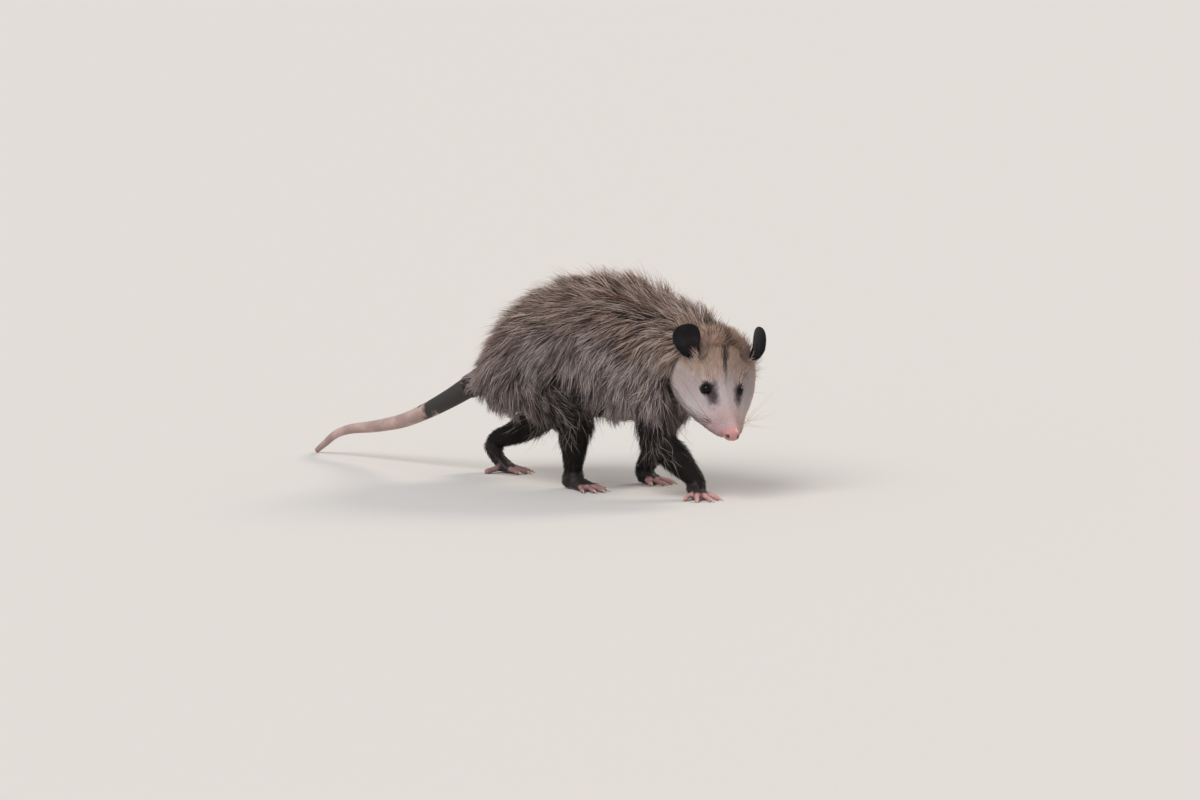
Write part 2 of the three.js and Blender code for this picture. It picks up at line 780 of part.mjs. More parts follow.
const trunkCore = cut(solid(trunk.skin(18, 18)), [headFat]);
const trunkFat = grown(solid(trunk.skin(18, 18)), GAP);
const neckPlain = solid(neck.skin(7, 16));
const neckPlainFat = grown(neckPlain, GAP + 0.05);
const neckCore = cut(neckPlain, [headFat, trunkFat]);

const earFat = [];
for (const [name, side] of [["ear_left", 1], ["ear_right", -1]]) {
  earFat.push(grown(earSolid(side, GAP).transform(HEAD_FRAME.elements), GAP + 0.3));
  parts[name] = largest(cut(parts[name], [headFat]));
}

const pawsFat = {};
for (const [name, paw] of Object.entries(PAWS)) {
  parts[name] = pawSolid(paw);
  pawsFat[name] = grown(parts[name], GAP);
}

const legsFat = [];
for (const [name, limb] of Object.entries(LIMBS)) {
  const tube = new Tube(limbPlace(limb.path));
  const core = tube.links(9, 9);
  const locks = limb.locks.flatMap(({ rows, ...form }) =>
    coatOver(tube, rows, form.apart, (point) => point.z < 112, limbLock(form)),
  );
  const whole = join([core, ...locksOf(locks)]).trimByPlane([0, 0, 1], 2);
  parts[name] = largest(cut(whole, [trunkFat, pawsFat[PAW_OF[name]], headFat, neckPlainFat]));
  legsFat.push(join([tube.links(9, 9, GAP + 0.2), ...roomFor(locks, GAP + 0.1)]));
}

const tailWhole = solid(tail.skin(22, 8)).trimByPlane([0, 0, 1], 0);
const tailFat = grown(tailWhole, GAP + 0.1);
let tailLeft = cut(tailWhole, [trunkFat]);
TAIL_NAMES.forEach((name, i) => {
  const share = TAIL_CUTS[i];
  if (share === undefined) {
    parts[name] = largest(tailLeft);
    return;
  }
  const here = tail.place(share);
  const back = tail.place(share + 0.02).at.sub(tail.place(share - 0.02).at).normalize();
  const where = back.dot(here.at);
  parts[name] = largest(tailLeft.trimByPlane([-back.x, -back.y, -back.z], -where + GAP / 2));
  tailLeft = tailLeft.trimByPlane([back.x, back.y, back.z], where + GAP / 2);
});

const shares = (from, to, count) => {
  const step = (to - from) / (count - 1);
  return Array.from({ length: count }, (_, i) => from + step * i);
};
const everywhere = () => true;
const neckLocks = coatOver(neck, shares(0.35, 0.8, 2), COAT.apart, everywhere, bodyLock);
const neckWhole = [neckCore, ...locksOf(neckLocks).map((lock) => cut(lock, [trunkFat, headFat]))];
parts.neck = largest(cut(join(neckWhole), [...legsFat, ...earFat]));
const neckFat = join([neckPlainFat, ...roomFor(neckLocks, GAP + 0.1)]);

const trunkLocks = coatOver(trunk, shares(0.07, 0.86, COAT.rows), COAT.apart, everywhere, bodyLock);
const clear = [...legsFat, tailFat, neckFat, headFat, ...earFat];
parts.torso = largest(join([trunkCore, cut(join(locksOf(trunkLocks)), clear)]));

// Colours, for the plain solids
const SHADES = {
  head: [0xd8cfc4, 0.85],
  nose: [0xd99a94, 0.45],
  eye: [0x0b0a0a, 0.08],
  ear: [0x1d1a1b, 0.6],
  neck: [0x9a8d83, 0.9],
  torso: [0x8b7f78, 0.9],
  foreleg: [0x2a2423, 0.9],
  hindleg: [0x2a2423, 0.9],
  forepaw: [0xb98078, 0.7],
  hindpaw: [0xa9807a, 0.7],
  tail_root: [0x3a3636, 0.75],
  tail: [0xb9a29b, 0.7],
};

const opossum = new THREE.Group();
for (const [name, body] of Object.entries(parts)) {
  const key = Object.keys(SHADES).find((k) => name === k || name.startsWith(`${k}_`));
  const [color, roughness] = SHADES[name] ?? SHADES[key];
  const material = new THREE.MeshStandardMaterial({ color, roughness, metalness: 0 });
  const mesh = new THREE.Mesh(geometryOf(body), material);
  mesh.name = name;
  opossum.add(mesh);
}
const box = new THREE.Box3().setFromObject(opossum);
opossum.position.set(-(box.min.x + box.max.x) / 2, -(box.min.y + box.max.y) / 2, 0);

export default opossum;
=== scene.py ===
import json
import math

import bpy
import numpy as np
import openvdb
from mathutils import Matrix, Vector
from mathutils.kdtree import KDTree

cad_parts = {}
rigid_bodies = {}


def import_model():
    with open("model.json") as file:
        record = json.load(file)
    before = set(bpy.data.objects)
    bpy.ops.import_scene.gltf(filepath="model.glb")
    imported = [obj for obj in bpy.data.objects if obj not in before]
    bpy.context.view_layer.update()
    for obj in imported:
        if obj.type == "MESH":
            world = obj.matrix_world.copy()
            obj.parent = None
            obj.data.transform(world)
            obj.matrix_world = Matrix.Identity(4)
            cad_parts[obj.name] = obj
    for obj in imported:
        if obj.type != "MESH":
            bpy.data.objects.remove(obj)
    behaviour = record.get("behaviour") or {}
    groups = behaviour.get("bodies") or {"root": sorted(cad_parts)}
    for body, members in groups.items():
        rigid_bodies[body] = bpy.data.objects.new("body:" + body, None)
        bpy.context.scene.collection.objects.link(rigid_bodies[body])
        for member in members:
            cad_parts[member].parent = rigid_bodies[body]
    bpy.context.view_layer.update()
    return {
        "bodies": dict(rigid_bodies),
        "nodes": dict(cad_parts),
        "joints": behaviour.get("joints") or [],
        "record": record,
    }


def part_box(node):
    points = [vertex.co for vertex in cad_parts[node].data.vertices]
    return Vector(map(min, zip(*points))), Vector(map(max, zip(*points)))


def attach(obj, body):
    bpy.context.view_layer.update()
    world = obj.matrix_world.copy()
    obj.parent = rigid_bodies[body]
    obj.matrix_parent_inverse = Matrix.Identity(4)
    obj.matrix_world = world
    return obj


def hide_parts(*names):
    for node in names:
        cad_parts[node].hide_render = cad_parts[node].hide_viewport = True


# A Virginia opossum at life size, walking. One skin lies under a long coarse coat of combed tufts; the face, ears,
# nose, toes and tail show it bare or under short hair. The tables are in millimetres, in the frame that the body
# is drawn in: +X ahead, +Y to the animal's left, +Z up from the floor.

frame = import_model()

MM = 0.001
SEED = 7

# How many tufts of each kind the coat has
LOCKS, CLUMPS, BODY_TUFTS, GUARD_HAIRS, WISPS = 1300, 8000, 44000, 7600, 420
LEG_TUFTS, FACE_HAIRS, FACE_LEADERS, EAR_TUFTS, PAW_HAIRS = 9500, 36000, 3600, 900, 3600

# The trunk, from rump to chest: distance ahead, top, underside and half width, half way out through the coat
TRUNK = [
    (-131, 113, 100, 9), (-124, 131, 86, 28), (-106, 157, 73, 45), (-75, 185, 64, 55),
    (-35, 205, 66, 60), (10, 215, 67, 61), (55, 214, 66, 58), (92, 202, 70, 50),
    (113, 188, 80, 41), (126, 170, 98, 28), (131, 152, 118, 9),
]
TRUNK_MIDDLE = 0.47
TRUNK_SWING = -0.00012

# The neck: its middle line, half width and half height
NECK = [
    (92, -1, 150, 34, 36), (108, -2, 149, 43, 46), (124, -4, 148, 46, 45),
    (140, -6, 146, 45, 40), (152, -9, 142, 40, 34),
]

# The head's own frame: its origin midway between the eyes, ahead along the snout
HEAD_AT = np.array([178.5, -27.5, 114.8])
HEAD_YAW, HEAD_PITCH, HEAD_ROLL = (math.radians(turn) for turn in (-44, 43, -6))
# Distance ahead, top, underside, half width, height of the widest line, and roundness of the upper half
HEAD = [
    (-67, 18, -22, 18, -4, 2), (-62, 26, -36, 33, -7, 2), (-48, 31, -46, 45, -10, 1.9),
    (-31, 27.5, -50.5, 48, -13, 1.7), (-15, 20, -50, 45.5, -17, 1.15), (0, 12, -46, 39, -19, 0.72),
    (12, 8, -42, 32, -20, 0.75), (24, 5, -37, 25, -18.5, 0.9), (36, 1.8, -30.5, 18.5, -15, 1.2),
    (44, -0.3, -24, 13.4, -12, 1.6), (49, -2, -18.5, 10, -10, 2),
]
NOSE = [
    (46, -2.2, -16.4, 9.4, -9.8, 2), (52.5, -1.4, -15.4, 9.3, -8.6, 2), (56.5, -1.8, -14.4, 8.7, -8, 2),
    (59, -3.8, -12.6, 6.2, -7.8, 2), (60.4, -6, -10.4, 2.8, -7.8, 2),
]
NOSTRIL_AT, NOSTRIL_SIZE = (58, 5.9, -6.6), (3.2, 1.5, 2.0)
# Grooves of the nose: outwards from each nostril, and down the middle, with their half widths and softness
NOSE_GROOVES = [
    ([(57.6, 6.8, -6.8), (55.8, 8.6, -8.2), (53.6, 9.6, -8)], [1.1, 0.7, 0.3], 0.8),
    ([(61.4, 0, -5.5), (60.8, 0, -9.5), (57.6, 0, -14.2)], [0.3, 0.45, 0.45], 1.2),
]
EYE_AT, EYE_RADIUS = np.array([-1.3, 17.6, 0.1]), 5.3
EYE_LOOK = np.array([0.5, 0.7, 0.5]) / math.sqrt(0.99)
LID_AT = EYE_AT + EYE_LOOK * 2
# How far ahead of the eye's middle its pocket and the ring under the lids lie, and their radii
POCKET_AHEAD, POCKET_RADIUS = 3.2, 5.6
RING_AHEAD, RING_RADIUS, RING_THICK = 1.7, 5.3, 0.95
# The swellings of the face: middle, half sizes and softness of the cheeks of the muzzle and of the brows
SWELLINGS = [((34, 11, -14.5), (11, 6, 5.5), 5), ((-6, 16, 6), (7, 4.5, 2), 4)]
# The mouth: distance ahead and height of its line, then the half thickness of the upper lip, lower lip and line.
# Its front is a whole point with the same three. The lips lie above and below the line, by these moves.
MOUTH = [
    (2, -28, 0.8, 0.6, 0.5), (12, -26.5, 1.2, 1.1, 0.8), (24, -22.5, 1.5, 1.4, 0.9), (36, -18.5, 1.6, 1.5, 0.9),
    (46, -15.5, 1.6, 1.4, 0.85),
]
MOUTH_FRONT = (50.8, 0, -15.2, 1.3, 1.2, 0.7)
UPPER_LIP, LOWER_LIP = (0, 0.2, 1.5), (0, -0.4, -1.6)

# An ear in the head's frame: middle of the leaf, its root on the skull, the ways its length and its hollow point
EAR_MIDDLE, EAR_ROOT = np.array([-42.3, 41.3, 31.7]), np.array([-34, 28, 17])
EAR_UP, EAR_FACE = np.array([-0.84, 0.09, 0.54]), np.array([0.45, 0.68, 0.58])
EAR_LONG, EAR_WIDE, EAR_CUP = 16.4, 16.8, 6
EAR_WIDEST, EAR_STEM = 0.55, 0.26  # where along it the leaf is widest, and the width of its stem as a share of that

# Limbs and tail: middle line and half width
LIMBS = {
    "foreleg_right": [(96, -21, 126, 24), (103, -38, 93, 23), (109, -46, 64, 18.5),
                      (132, -46, 42, 14), (153, -45, 22, 9.5), (156, -46, 14, 9)],
    "foreleg_left": [(94, 20, 126, 24), (84, 35, 93, 21), (69, 37, 63, 15.5),
                     (60, 34, 38, 11.5), (51, 31, 19, 9), (50, 31, 12, 9)],
    "hindleg_right": [(-60, -19, 121, 30), (-31, -33, 101, 30), (0, -42, 80, 23),
                      (5, -43, 52, 14.5), (3, -41, 24, 9.5), (3, -41, 14, 9.5)],
    "hindleg_left": [(-82, 19, 122, 30), (-78, 32, 97, 29), (-78, 37, 73, 21),
                     (-105, 36, 50, 13.5), (-134, 35, 37, 9.5), (-141, 35, 31, 8.5)],
}
TAIL = [
    (-104, 1, 116, 15), (-128, 4, 107, 13.8), (-154, 8, 96, 12), (-184, 14, 80, 10.4),
    (-220, 24, 63, 8.9), (-258, 36, 48.5, 7.7), (-300, 48, 38.5, 6.6), (-338, 58, 32, 5.4),
    (-362, 64, 24, 4.5), (-381, 70, 11.5, 3.7), (-395, 76, 2.4, 2.9),
]

# Feet in their own frames: the sole from the heel (distance ahead, height, half width, half height), then each
# toe's turn in degrees, root (ahead, outward), length, half thickness, and whether it has a claw
FORE_SOLE = [(-7, 8, 6.5, 5.5), (-1, 9, 8.5, 8.6), (7, 7, 10, 6.6), (13, 5.4, 9.5, 5), (16, 4.8, 6, 3.4)]
FORE_TOES = [
    (60, 3, 8, 12, 3.1, True), (31, 10, 7.5, 15, 3.1, True), (4, 13, 1.5, 17, 3.1, True),
    (-24, 11.5, -5, 16, 3.1, True), (-54, 5, -8.5, 12.5, 3.1, True),
]
HIND_SOLE = [
    (-13, 7, 5, 5), (-8, 8, 7.8, 8), (4, 8, 8.6, 7.8), (18, 6, 10.4, 5.8), (27, 4.6, 9.6, 4.4), (31, 4.4, 6, 3),
]
HIND_TOES = [
    (20, 23, 7.5, 17, 3.1, True), (5, 26, 2.5, 19, 3.1, True), (-9, 25.5, -3, 18, 3.1, True),
    (-26, 22, -8, 15, 3.1, True), (74, 9, 7, 16, 4, False),
]
PUSH_SOLE = [
    (-12, 33, 6, 6.5), (-10, 27, 8, 7.5), (-3, 15, 8, 7), (6, 7.5, 9.5, 6.5), (14, 4.8, 9.6, 4.6), (19, 4.4, 6, 3),
]
PUSH_TOES = [
    (20, 11, 7.5, 17, 3.1, True), (5, 14, 2.5, 19, 3.1, True), (-9, 13.5, -3, 18, 3.1, True),
    (-26, 10, -8, 15, 3.1, True), (128, 2, 6, 17, 4, False),
]
# Each paw: its leg, sole, toes, place on the floor, turn in degrees, and the side of the body
PAWS = {
    "forepaw_right": ("foreleg_right", FORE_SOLE, FORE_TOES, (156, -46), -34, -1),
    "forepaw_left": ("foreleg_left", FORE_SOLE, FORE_TOES, (50, 31), 22, 1),
    "hindpaw_right": ("hindleg_right", HIND_SOLE, HIND_TOES, (3, -41), -22, -1),
    "hindpaw_left": ("hindleg_left", PUSH_SOLE, PUSH_TOES, (-132, 35), 5, 1),
}
TOE_ROOT, TOE_PRESS, TOE_SLIM = 4.6, 0.6, 0.82
# The joints of a toe: share of its length, height over its root, and share of its half thickness
TOE_JOINTS = [(-0.35, 0.6, 1), (0.22, 1.3, 1.02), (0.6, -0.1, 0.9), (0.93, -1.3, 0.88)]
# A claw from its root to its point: distance ahead, height, half thickness; and how far it lies below the toe
CLAW, CLAW_LOW = [(-2, 0.6, 1.25), (2.5, 0.8, 1.1), (6.5, -1.4, 0.2)], 2.2

# How far the skin lies inside the tables' surface, by share along each part
TRUNK_DEPTH = [9, 10, 11, 11, 11, 11, 11, 10, 10, 9, 8]
NECK_DEPTH = [9, 9, 11, 15, 20]
HEAD_DEPTH = [8, 8, 6.5, 4.4, 3.0, 1.9, 1.5, 1.2, 0.8, 0.5, 0.3]
LIMB_DEPTH = [7, 7, 5, 2.6, 1.2, 0.8]
TAIL_DEPTH = [3, 1.5, 0.3, 0.1, 0, 0, 0, 0, 0, 0, 0]
STUB_END, STUB_DEPTH = 0.26, [2.2, 1.0, 0.2, -0.1, 1.5]  # the furred root of the tail, which ends inside the scales
NOSE_DEPTH, SOLE_DEPTH = [0.1] * 5, [0.2] * 5


# Small tools

def unit(vectors):
    return vectors / np.maximum(np.linalg.norm(vectors, axis=-1, keepdims=True), 1e-9)


def step(low, high, value):
    """0 below low, 1 above high, and a smooth rise between. With low above high it falls instead."""
    share = np.clip((value - low) / (high - low), 0, 1)
    return share * share * (3 - 2 * share)


def smooth_rows(rows, share):
    """The values of a table at shares of the way through its rows, on a smooth line through them."""
    rows = np.asarray(rows, float).reshape(len(rows), -1)
    place = np.clip(share, 0, 1) * (len(rows) - 1)
    i = np.minimum(place.astype(int), len(rows) - 2)
    f = (place - i)[:, None]
    a, b, c, d = (rows[np.clip(i + k, 0, len(rows) - 1)] for k in (-1, 0, 1, 2))
    return b + 0.5 * f * (c - a + f * (2 * a - 5 * b + 4 * c - d + f * (3 * (b - c) + d - a)))


def across(vectors, normals):
    """The part of each vector that lies along the surface."""
    return vectors - (vectors * normals).sum(-1, keepdims=True) * normals


class Frame:
    """A place with its own axes. It turns points into its own frame and back into the body's."""

    def __init__(self, origin, ahead, left):
        self.origin = np.array(origin, float)
        ahead, left = np.array(ahead, float), np.array(left, float)
        self.axes = np.stack([ahead, left, np.cross(ahead, left)])

    def inside(self, points):
        return (points - self.origin) @ self.axes.T

    def outside(self, points):
        return points @ self.axes + self.origin

    def turned_out(self, vectors):
        return vectors @ self.axes


def head_frame():
    ahead = np.array([
        math.cos(HEAD_PITCH) * math.cos(HEAD_YAW),
        math.cos(HEAD_PITCH) * math.sin(HEAD_YAW),
        -math.sin(HEAD_PITCH),
    ])
    level = unit(np.cross((0, 0, 1), ahead))
    left = level * math.cos(HEAD_ROLL) + np.cross(ahead, level) * math.sin(HEAD_ROLL)
    return Frame(HEAD_AT, ahead, left)


def paw_frame(name):
    _, _, _, (x, y), turn, _ = PAWS[name]
    turn = math.radians(turn)
    return Frame((x, y, 0), (math.cos(turn), math.sin(turn), 0), (-math.sin(turn), math.cos(turn), 0))


BODY = Frame((0, 0, 0), (1, 0, 0), (0, 1, 0))
HEAD_FRAME = head_frame()


def body_shift():
    """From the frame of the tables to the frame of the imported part, from the two eyes' places."""
    moves = []
    for name, side in (("eye_left", 1), ("eye_right", -1)):
        low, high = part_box(name)
        drawn = HEAD_FRAME.outside(EYE_AT * (1, side, 1))
        moves.append(np.array((low + high) / 2) / MM - drawn)
    return np.mean(moves, axis=0) * (1, 1, 0)


SHIFT = body_shift()


def placed(points):
    return (points + SHIFT) * MM


def beside_head(points):
    """Points in the head's frame, with those on its right mirrored to its left."""
    inside = HEAD_FRAME.inside(points)
    inside[:, 1] = np.abs(inside[:, 1])
    return inside


# Camera, floor and light

CAMERA_AZIMUTH, CAMERA_ELEVATION, CAMERA_FAR = math.radians(30), math.radians(7), 7500
CAMERA_AIM_RIGHT, CAMERA_AIM_UP = 10.75, 90.3
CAMERA_LENS, CAMERA_SENSOR, CAMERA_CLIP = 209.25, 36, (0.1, 50)
SKY_COLOUR, SKY_STRENGTH = (0.92, 0.95, 1, 1), 0.55
# The soft lights: azimuth and elevation in degrees, strength, spread in degrees, and colour
SUNS = {"key": (-10, 50, 2.0, 40, (1, 0.97, 0.94)), "rim": (158, 34, 1.3, 18, (1, 0.84, 0.68))}
FLOOR_HALF, FLOOR_COLOUR = 40, (0.62, 0.6, 0.58, 1)


def make_camera():
    a, e = CAMERA_AZIMUTH, CAMERA_ELEVATION
    right = np.array([math.cos(a), math.sin(a), 0])
    back = np.array([math.sin(a) * math.cos(e), -math.cos(a) * math.cos(e), math.sin(e)])
    aim = right * CAMERA_AIM_RIGHT + np.cross(back, right) * CAMERA_AIM_UP
    data = bpy.data.cameras.new("camera")
    data.lens, data.sensor_width = CAMERA_LENS, CAMERA_SENSOR
    data.clip_start, data.clip_end = CAMERA_CLIP
    camera = bpy.data.objects.new("camera", data)
    camera.location = placed(aim + back * CAMERA_FAR)
    camera.rotation_euler = Vector(-back).to_track_quat("-Z", "Y").to_euler()
    bpy.context.scene.collection.objects.link(camera)
    bpy.context.scene.camera = camera


def make_sun(name, azimuth, elevation, strength, spread, colour):
    """A soft light from far away, which lights the floor evenly. Azimuths are counted as the camera's."""
    data = bpy.data.lights.new(name, "SUN")
    data.energy, data.angle, data.color = strength, math.radians(spread), colour
    light = bpy.data.objects.new(name, data)
    a, e = math.radians(azimuth), math.radians(elevation)
    towards = Vector((math.sin(a) * math.cos(e), -math.cos(a) * math.cos(e), math.sin(e)))
    light.rotation_euler = towards.to_track_quat("Z", "Y").to_euler()
    bpy.context.scene.collection.objects.link(light)


def make_room():
    scene = bpy.context.scene
    scene.view_settings.view_transform = "Standard"
    world = bpy.data.worlds.new("room")
    world.use_nodes = True
    sky = world.node_tree.nodes["Background"].inputs
    sky["Color"].default_value, sky["Strength"].default_value = SKY_COLOUR, SKY_STRENGTH
    scene.world = world
    for name, light in SUNS.items():
        make_sun(name, *light)
    mesh = bpy.data.meshes.new("floor")
    corners = [(x * FLOOR_HALF, y * FLOOR_HALF, 0) for x, y in ((-1, -1), (1, -1), (1, 1), (-1, 1))]
    mesh.from_pydata(corners, [], [(0, 1, 2, 3)])
    floor = bpy.data.objects.new("floor", mesh)
    scene.collection.objects.link(floor)
    finish = Finish("floor_paper")
    finish.surface(FLOOR_COLOUR, roughness=0.9)
    mesh.materials.append(finish.material)


# Shader maths

class Value:
    """A node's output socket. Arithmetic on it adds Math nodes."""

    def __init__(self, finish, socket):
        self.finish, self.socket = finish, socket

    def _math(self, operation, *values):
        return self.finish.node("ShaderNodeMath", {"operation": operation}, dict(enumerate(values)))

    def __add__(self, other):
        return self._math("ADD", self, other)

    def __sub__(self, other):
        return self._math("SUBTRACT", self, other)

    def __rsub__(self, other):
        return self._math("SUBTRACT", other, self)

    def __mul__(self, other):
        return self._math("MULTIPLY", self, other)

    def __pow__(self, other):
        return self._math("POWER", self, other)

    __radd__ = __add__
    __rmul__ = __mul__

    def clipped(self, low, high):
        """The value's place between low and high, from 0 to 1, on a smooth step."""
        return self.finish.node(
            "ShaderNodeMapRange", {"interpolation_type": "SMOOTHSTEP"},
            {"Value": self, "From Min": low, "From Max": high, "To Min": 0, "To Max": 1},
        )

    def through(self, operation):
        """The value through a Math node that takes one number."""
        return self._math(operation, self)

    def out(self, name):
        return Value(self.finish, self.socket.node.outputs[name])


class Finish:
    """A procedural material, built from nodes."""

    def __init__(self, name):
        self.material = bpy.data.materials.new(name)
        self.material.use_nodes = True
        self.tree = self.material.node_tree
        self.tree.nodes.clear()

    def node(self, kind, settings=None, sockets=None, output=0):
        made = self.tree.nodes.new(kind)
        for key, value in (settings or {}).items():
            setattr(made, key, value)
        for key, value in (sockets or {}).items():
            if isinstance(value, Value):
                self.tree.links.new(value.socket, made.inputs[key])
            else:
                made.inputs[key].default_value = value
        return Value(self, made.outputs[output])

    def place(self):
        """Where each point is on the animal."""
        return self.node("ShaderNodeTexCoord", output="Object")

    def parts(self, name):
        """The three numbers kept in a colour attribute."""
        colour = self.node("ShaderNodeAttribute", {"attribute_name": name}, output="Color")
        split = self.node("ShaderNodeSeparateColor", {}, {"Color": colour})
        return split.out("Red"), split.out("Green"), split.out("Blue")

    def mix(self, factor, a, b, how="MIX"):
        """Colour a turned into colour b by the factor."""
        return self.node(
            "ShaderNodeMix", {"data_type": "RGBA", "blend_type": how},
            {0: factor, 6: a, 7: b}, output=2,
        )

    def noise(self, scale, detail=2, at=None, **settings):
        sockets = {"Scale": scale, "Detail": detail, **settings}
        if at is not None:
            sockets["Vector"] = at
        return self.node("ShaderNodeTexNoise", {}, sockets)

    def bump(self, height, strength, distance):
        return self.node("ShaderNodeBump", {}, {"Height": height, "Strength": strength, "Distance": distance})

    def surface(self, base, roughness=0.6, bump=None, **fixed):
        sockets = {"Base Color": base, "Roughness": roughness}
        if bump is not None:
            sockets["Normal"] = bump
        sockets.update({key.replace("_", " "): value for key, value in fixed.items()})
        shader = self.node("ShaderNodeBsdfPrincipled", {}, sockets)
        output = self.tree.nodes.new("ShaderNodeOutputMaterial")
        self.tree.links.new(shader.socket, output.inputs["Surface"])
        return self.material


def srgb(code):
    """A colour's three light values from its six-figure code."""
    parts = [int(code[i:i + 2], 16) / 255 for i in (0, 2, 4)]
    return tuple(p / 12.92 if p <= 0.04045 else ((p + 0.055) / 1.055) ** 2.4 for p in parts) + (1,)


# The forms of the body: sections along a line

class Tube:
    """A surface round a line, as sections at even shares along it."""

    def __init__(self, at, side, up, wide, top, bottom, roundness, depth):
        count = len(at)
        self.at = at
        self.side = np.broadcast_to(side, (count, 3))
        self.up = np.broadcast_to(up, (count, 3))
        self.wide, self.top, self.bottom = wide, top, bottom
        self.roundness = np.broadcast_to(roundness, count)
        self.depth = smooth_rows(depth, np.linspace(0, 1, count))[:, 0]
        self.ahead = unit(np.gradient(at, axis=0))
        self.far = np.concatenate([[0], np.cumsum(np.linalg.norm(np.diff(at, axis=0), axis=1))])

    def rings(self, sides, depth=None):
        depth = self.depth if depth is None else depth
        angle = 2 * np.pi * (np.arange(sides) + 0.5) / sides
        cos, sin = np.cos(angle), np.sin(angle)
        power = np.where(sin[None] > 0, 2 / self.roundness[:, None], 1)
        high = np.where(sin[None] > 0, self.top[:, None], self.bottom[:, None])
        x = np.maximum(self.wide - depth, 1)[:, None] * cos
        z = np.maximum(high - np.reshape(depth, (-1, 1)), 1) * np.sign(sin) * np.abs(sin) ** power
        return self.at[:, None] + x[..., None] * self.side[:, None] + z[..., None] * self.up[:, None]

    def nearest(self, points):
        """For each point: the section it lies by, its places across it, and how far out it is, with 1 on the skin."""
        apart = (self.at ** 2).sum(1)[None] - 2 * points @ self.at.T
        i = apart.argmin(1)
        off = points - self.at[i]
        x, z = (off * self.side[i]).sum(1), (off * self.up[i]).sum(1)
        wide = np.maximum(self.wide[i] - self.depth[i], 1)
        high = np.maximum(np.where(z > 0, self.top[i], self.bottom[i]) - self.depth[i], 1)
        x, z = x / wide, z / high
        out = np.sqrt(x ** 2 + np.abs(z) ** np.where(z > 0, self.roundness[i], 2))
        beyond = np.abs((off * self.ahead[i]).sum(1))
        return i, x, z, out, (out - 1).clip(0) * np.minimum(wide, high) + beyond

    def share(self, i):
        return i / (len(self.at) - 1)


def loft(rings):
    """Points and faces of a closed skin over rings of points, with a flat end at each end."""
    count, sides = rings.shape[:2]
    points = np.concatenate([rings.reshape(-1, 3), rings[[0, -1]].mean(1)])
    r, k = np.meshgrid(np.arange(count - 1), np.arange(sides), indexing="ij")
    a, b = r * sides + k, r * sides + (k + 1) % sides
    quads = np.stack([a, b, b + sides, a + sides], -1).reshape(-1, 4)
    k = np.arange(sides)
    first, last = count * sides, count * sides + 1
    end = (count - 1) * sides
    ends = np.concatenate([
        np.stack([np.full(sides, first), (k + 1) % sides, k], 1),
        np.stack([np.full(sides, last), end + k, end + (k + 1) % sides], 1),
    ])
    return points, quads, ends


def joined(surfaces):
    """Several surfaces as one: their points, and each kind of face counted on over them all."""
    starts = np.cumsum([0] + [len(points) for points, *_ in surfaces[:-1]])
    kinds = zip(*(faces for _, *faces in surfaces))
    counted_on = [np.concatenate([faces + start for faces, start in zip(kind, starts)]) for kind in kinds]
    return np.concatenate([points for points, *_ in surfaces]), *counted_on


def trunk_tube(count=64):
    x, top, bottom, wide = smooth_rows(TRUNK, np.linspace(0, 1, count)).T
    middle = bottom + TRUNK_MIDDLE * (top - bottom)
    at = np.stack([x, TRUNK_SWING * (x + 60) * abs(x + 60), middle], 1)
    return Tube(at, (0, -1, 0), (0, 0, 1), wide, top - middle, middle - bottom, 2.1, TRUNK_DEPTH)


def neck_tube(count=24):
    share = np.linspace(0, 1, count)
    x, y, z, wide, high = smooth_rows(NECK, share).T
    lean = 0.35 * share
    side = unit(np.stack([-0.5 * lean, -np.ones(count), np.zeros(count)], 1))
    up = unit(np.stack([lean, np.zeros(count), np.ones(count)], 1))
    return Tube(np.stack([x, y, z], 1), side, up, wide, high, high, 2, NECK_DEPTH)


def round_tube(rows, depth, count=48):
    """A limb or a tail: round sections across a smooth line."""
    table = smooth_rows(rows, np.linspace(0, 1, count))
    at, wide = table[:, :3], table[:, 3]
    ahead = unit(np.gradient(at, axis=0))
    side = unit(np.array([0.0, 1, 0]) - ahead * ahead[:, 1:2])
    return Tube(at, side, np.cross(ahead, side), wide, wide, wide, 2, depth)


def face_tube(rows, depth, count=64):
    """A part of the head, in the head's frame."""
    x, top, bottom, wide, middle, roundness = smooth_rows(rows, np.linspace(0, 1, count)).T
    at = np.stack([x, 0 * x, middle], 1)
    return Tube(at, (0, -1, 0), (0, 0, 1), wide, top - middle, middle - bottom, roundness, depth)


def moved_out(tube):
    """A tube of the head's frame in the frame of the body."""
    moved = Tube.__new__(Tube)
    moved.__dict__.update(tube.__dict__)
    moved.at = HEAD_FRAME.outside(tube.at)
    moved.side, moved.up, moved.ahead = (HEAD_FRAME.turned_out(v) for v in (tube.side, tube.up, tube.ahead))
    return moved


TRUNK_TUBE, NECK_TUBE = trunk_tube(), neck_tube()
FACE_TUBE = face_tube(HEAD, HEAD_DEPTH)
HEAD_TUBE = moved_out(FACE_TUBE)
LIMB_TUBES = {name: round_tube(rows, LIMB_DEPTH) for name, rows in LIMBS.items()}
PART_TUBES = {
    "trunk": TRUNK_TUBE, "neck": NECK_TUBE, "head": HEAD_TUBE, "tail": round_tube(TAIL, TAIL_DEPTH), **LIMB_TUBES,
}


# The skin, as distances on a grid of small cubes

BAND = 14  # millimetres on each side of a form's surface in which its distances are known
# The cubes' sizes, and the room that each skin has in its own frame
BODY_CUBE, HEAD_CUBE, PAW_CUBE = 2.1, 0.95, 0.7
BODY_ROOM, HEAD_ROOM = ((-180, -74, 8), (190, 74, 216)), ((-64, -54, -58), (66, 54, 40))
PAW_ROOM = (-26, -26, -1.4), (50, 26, 46)


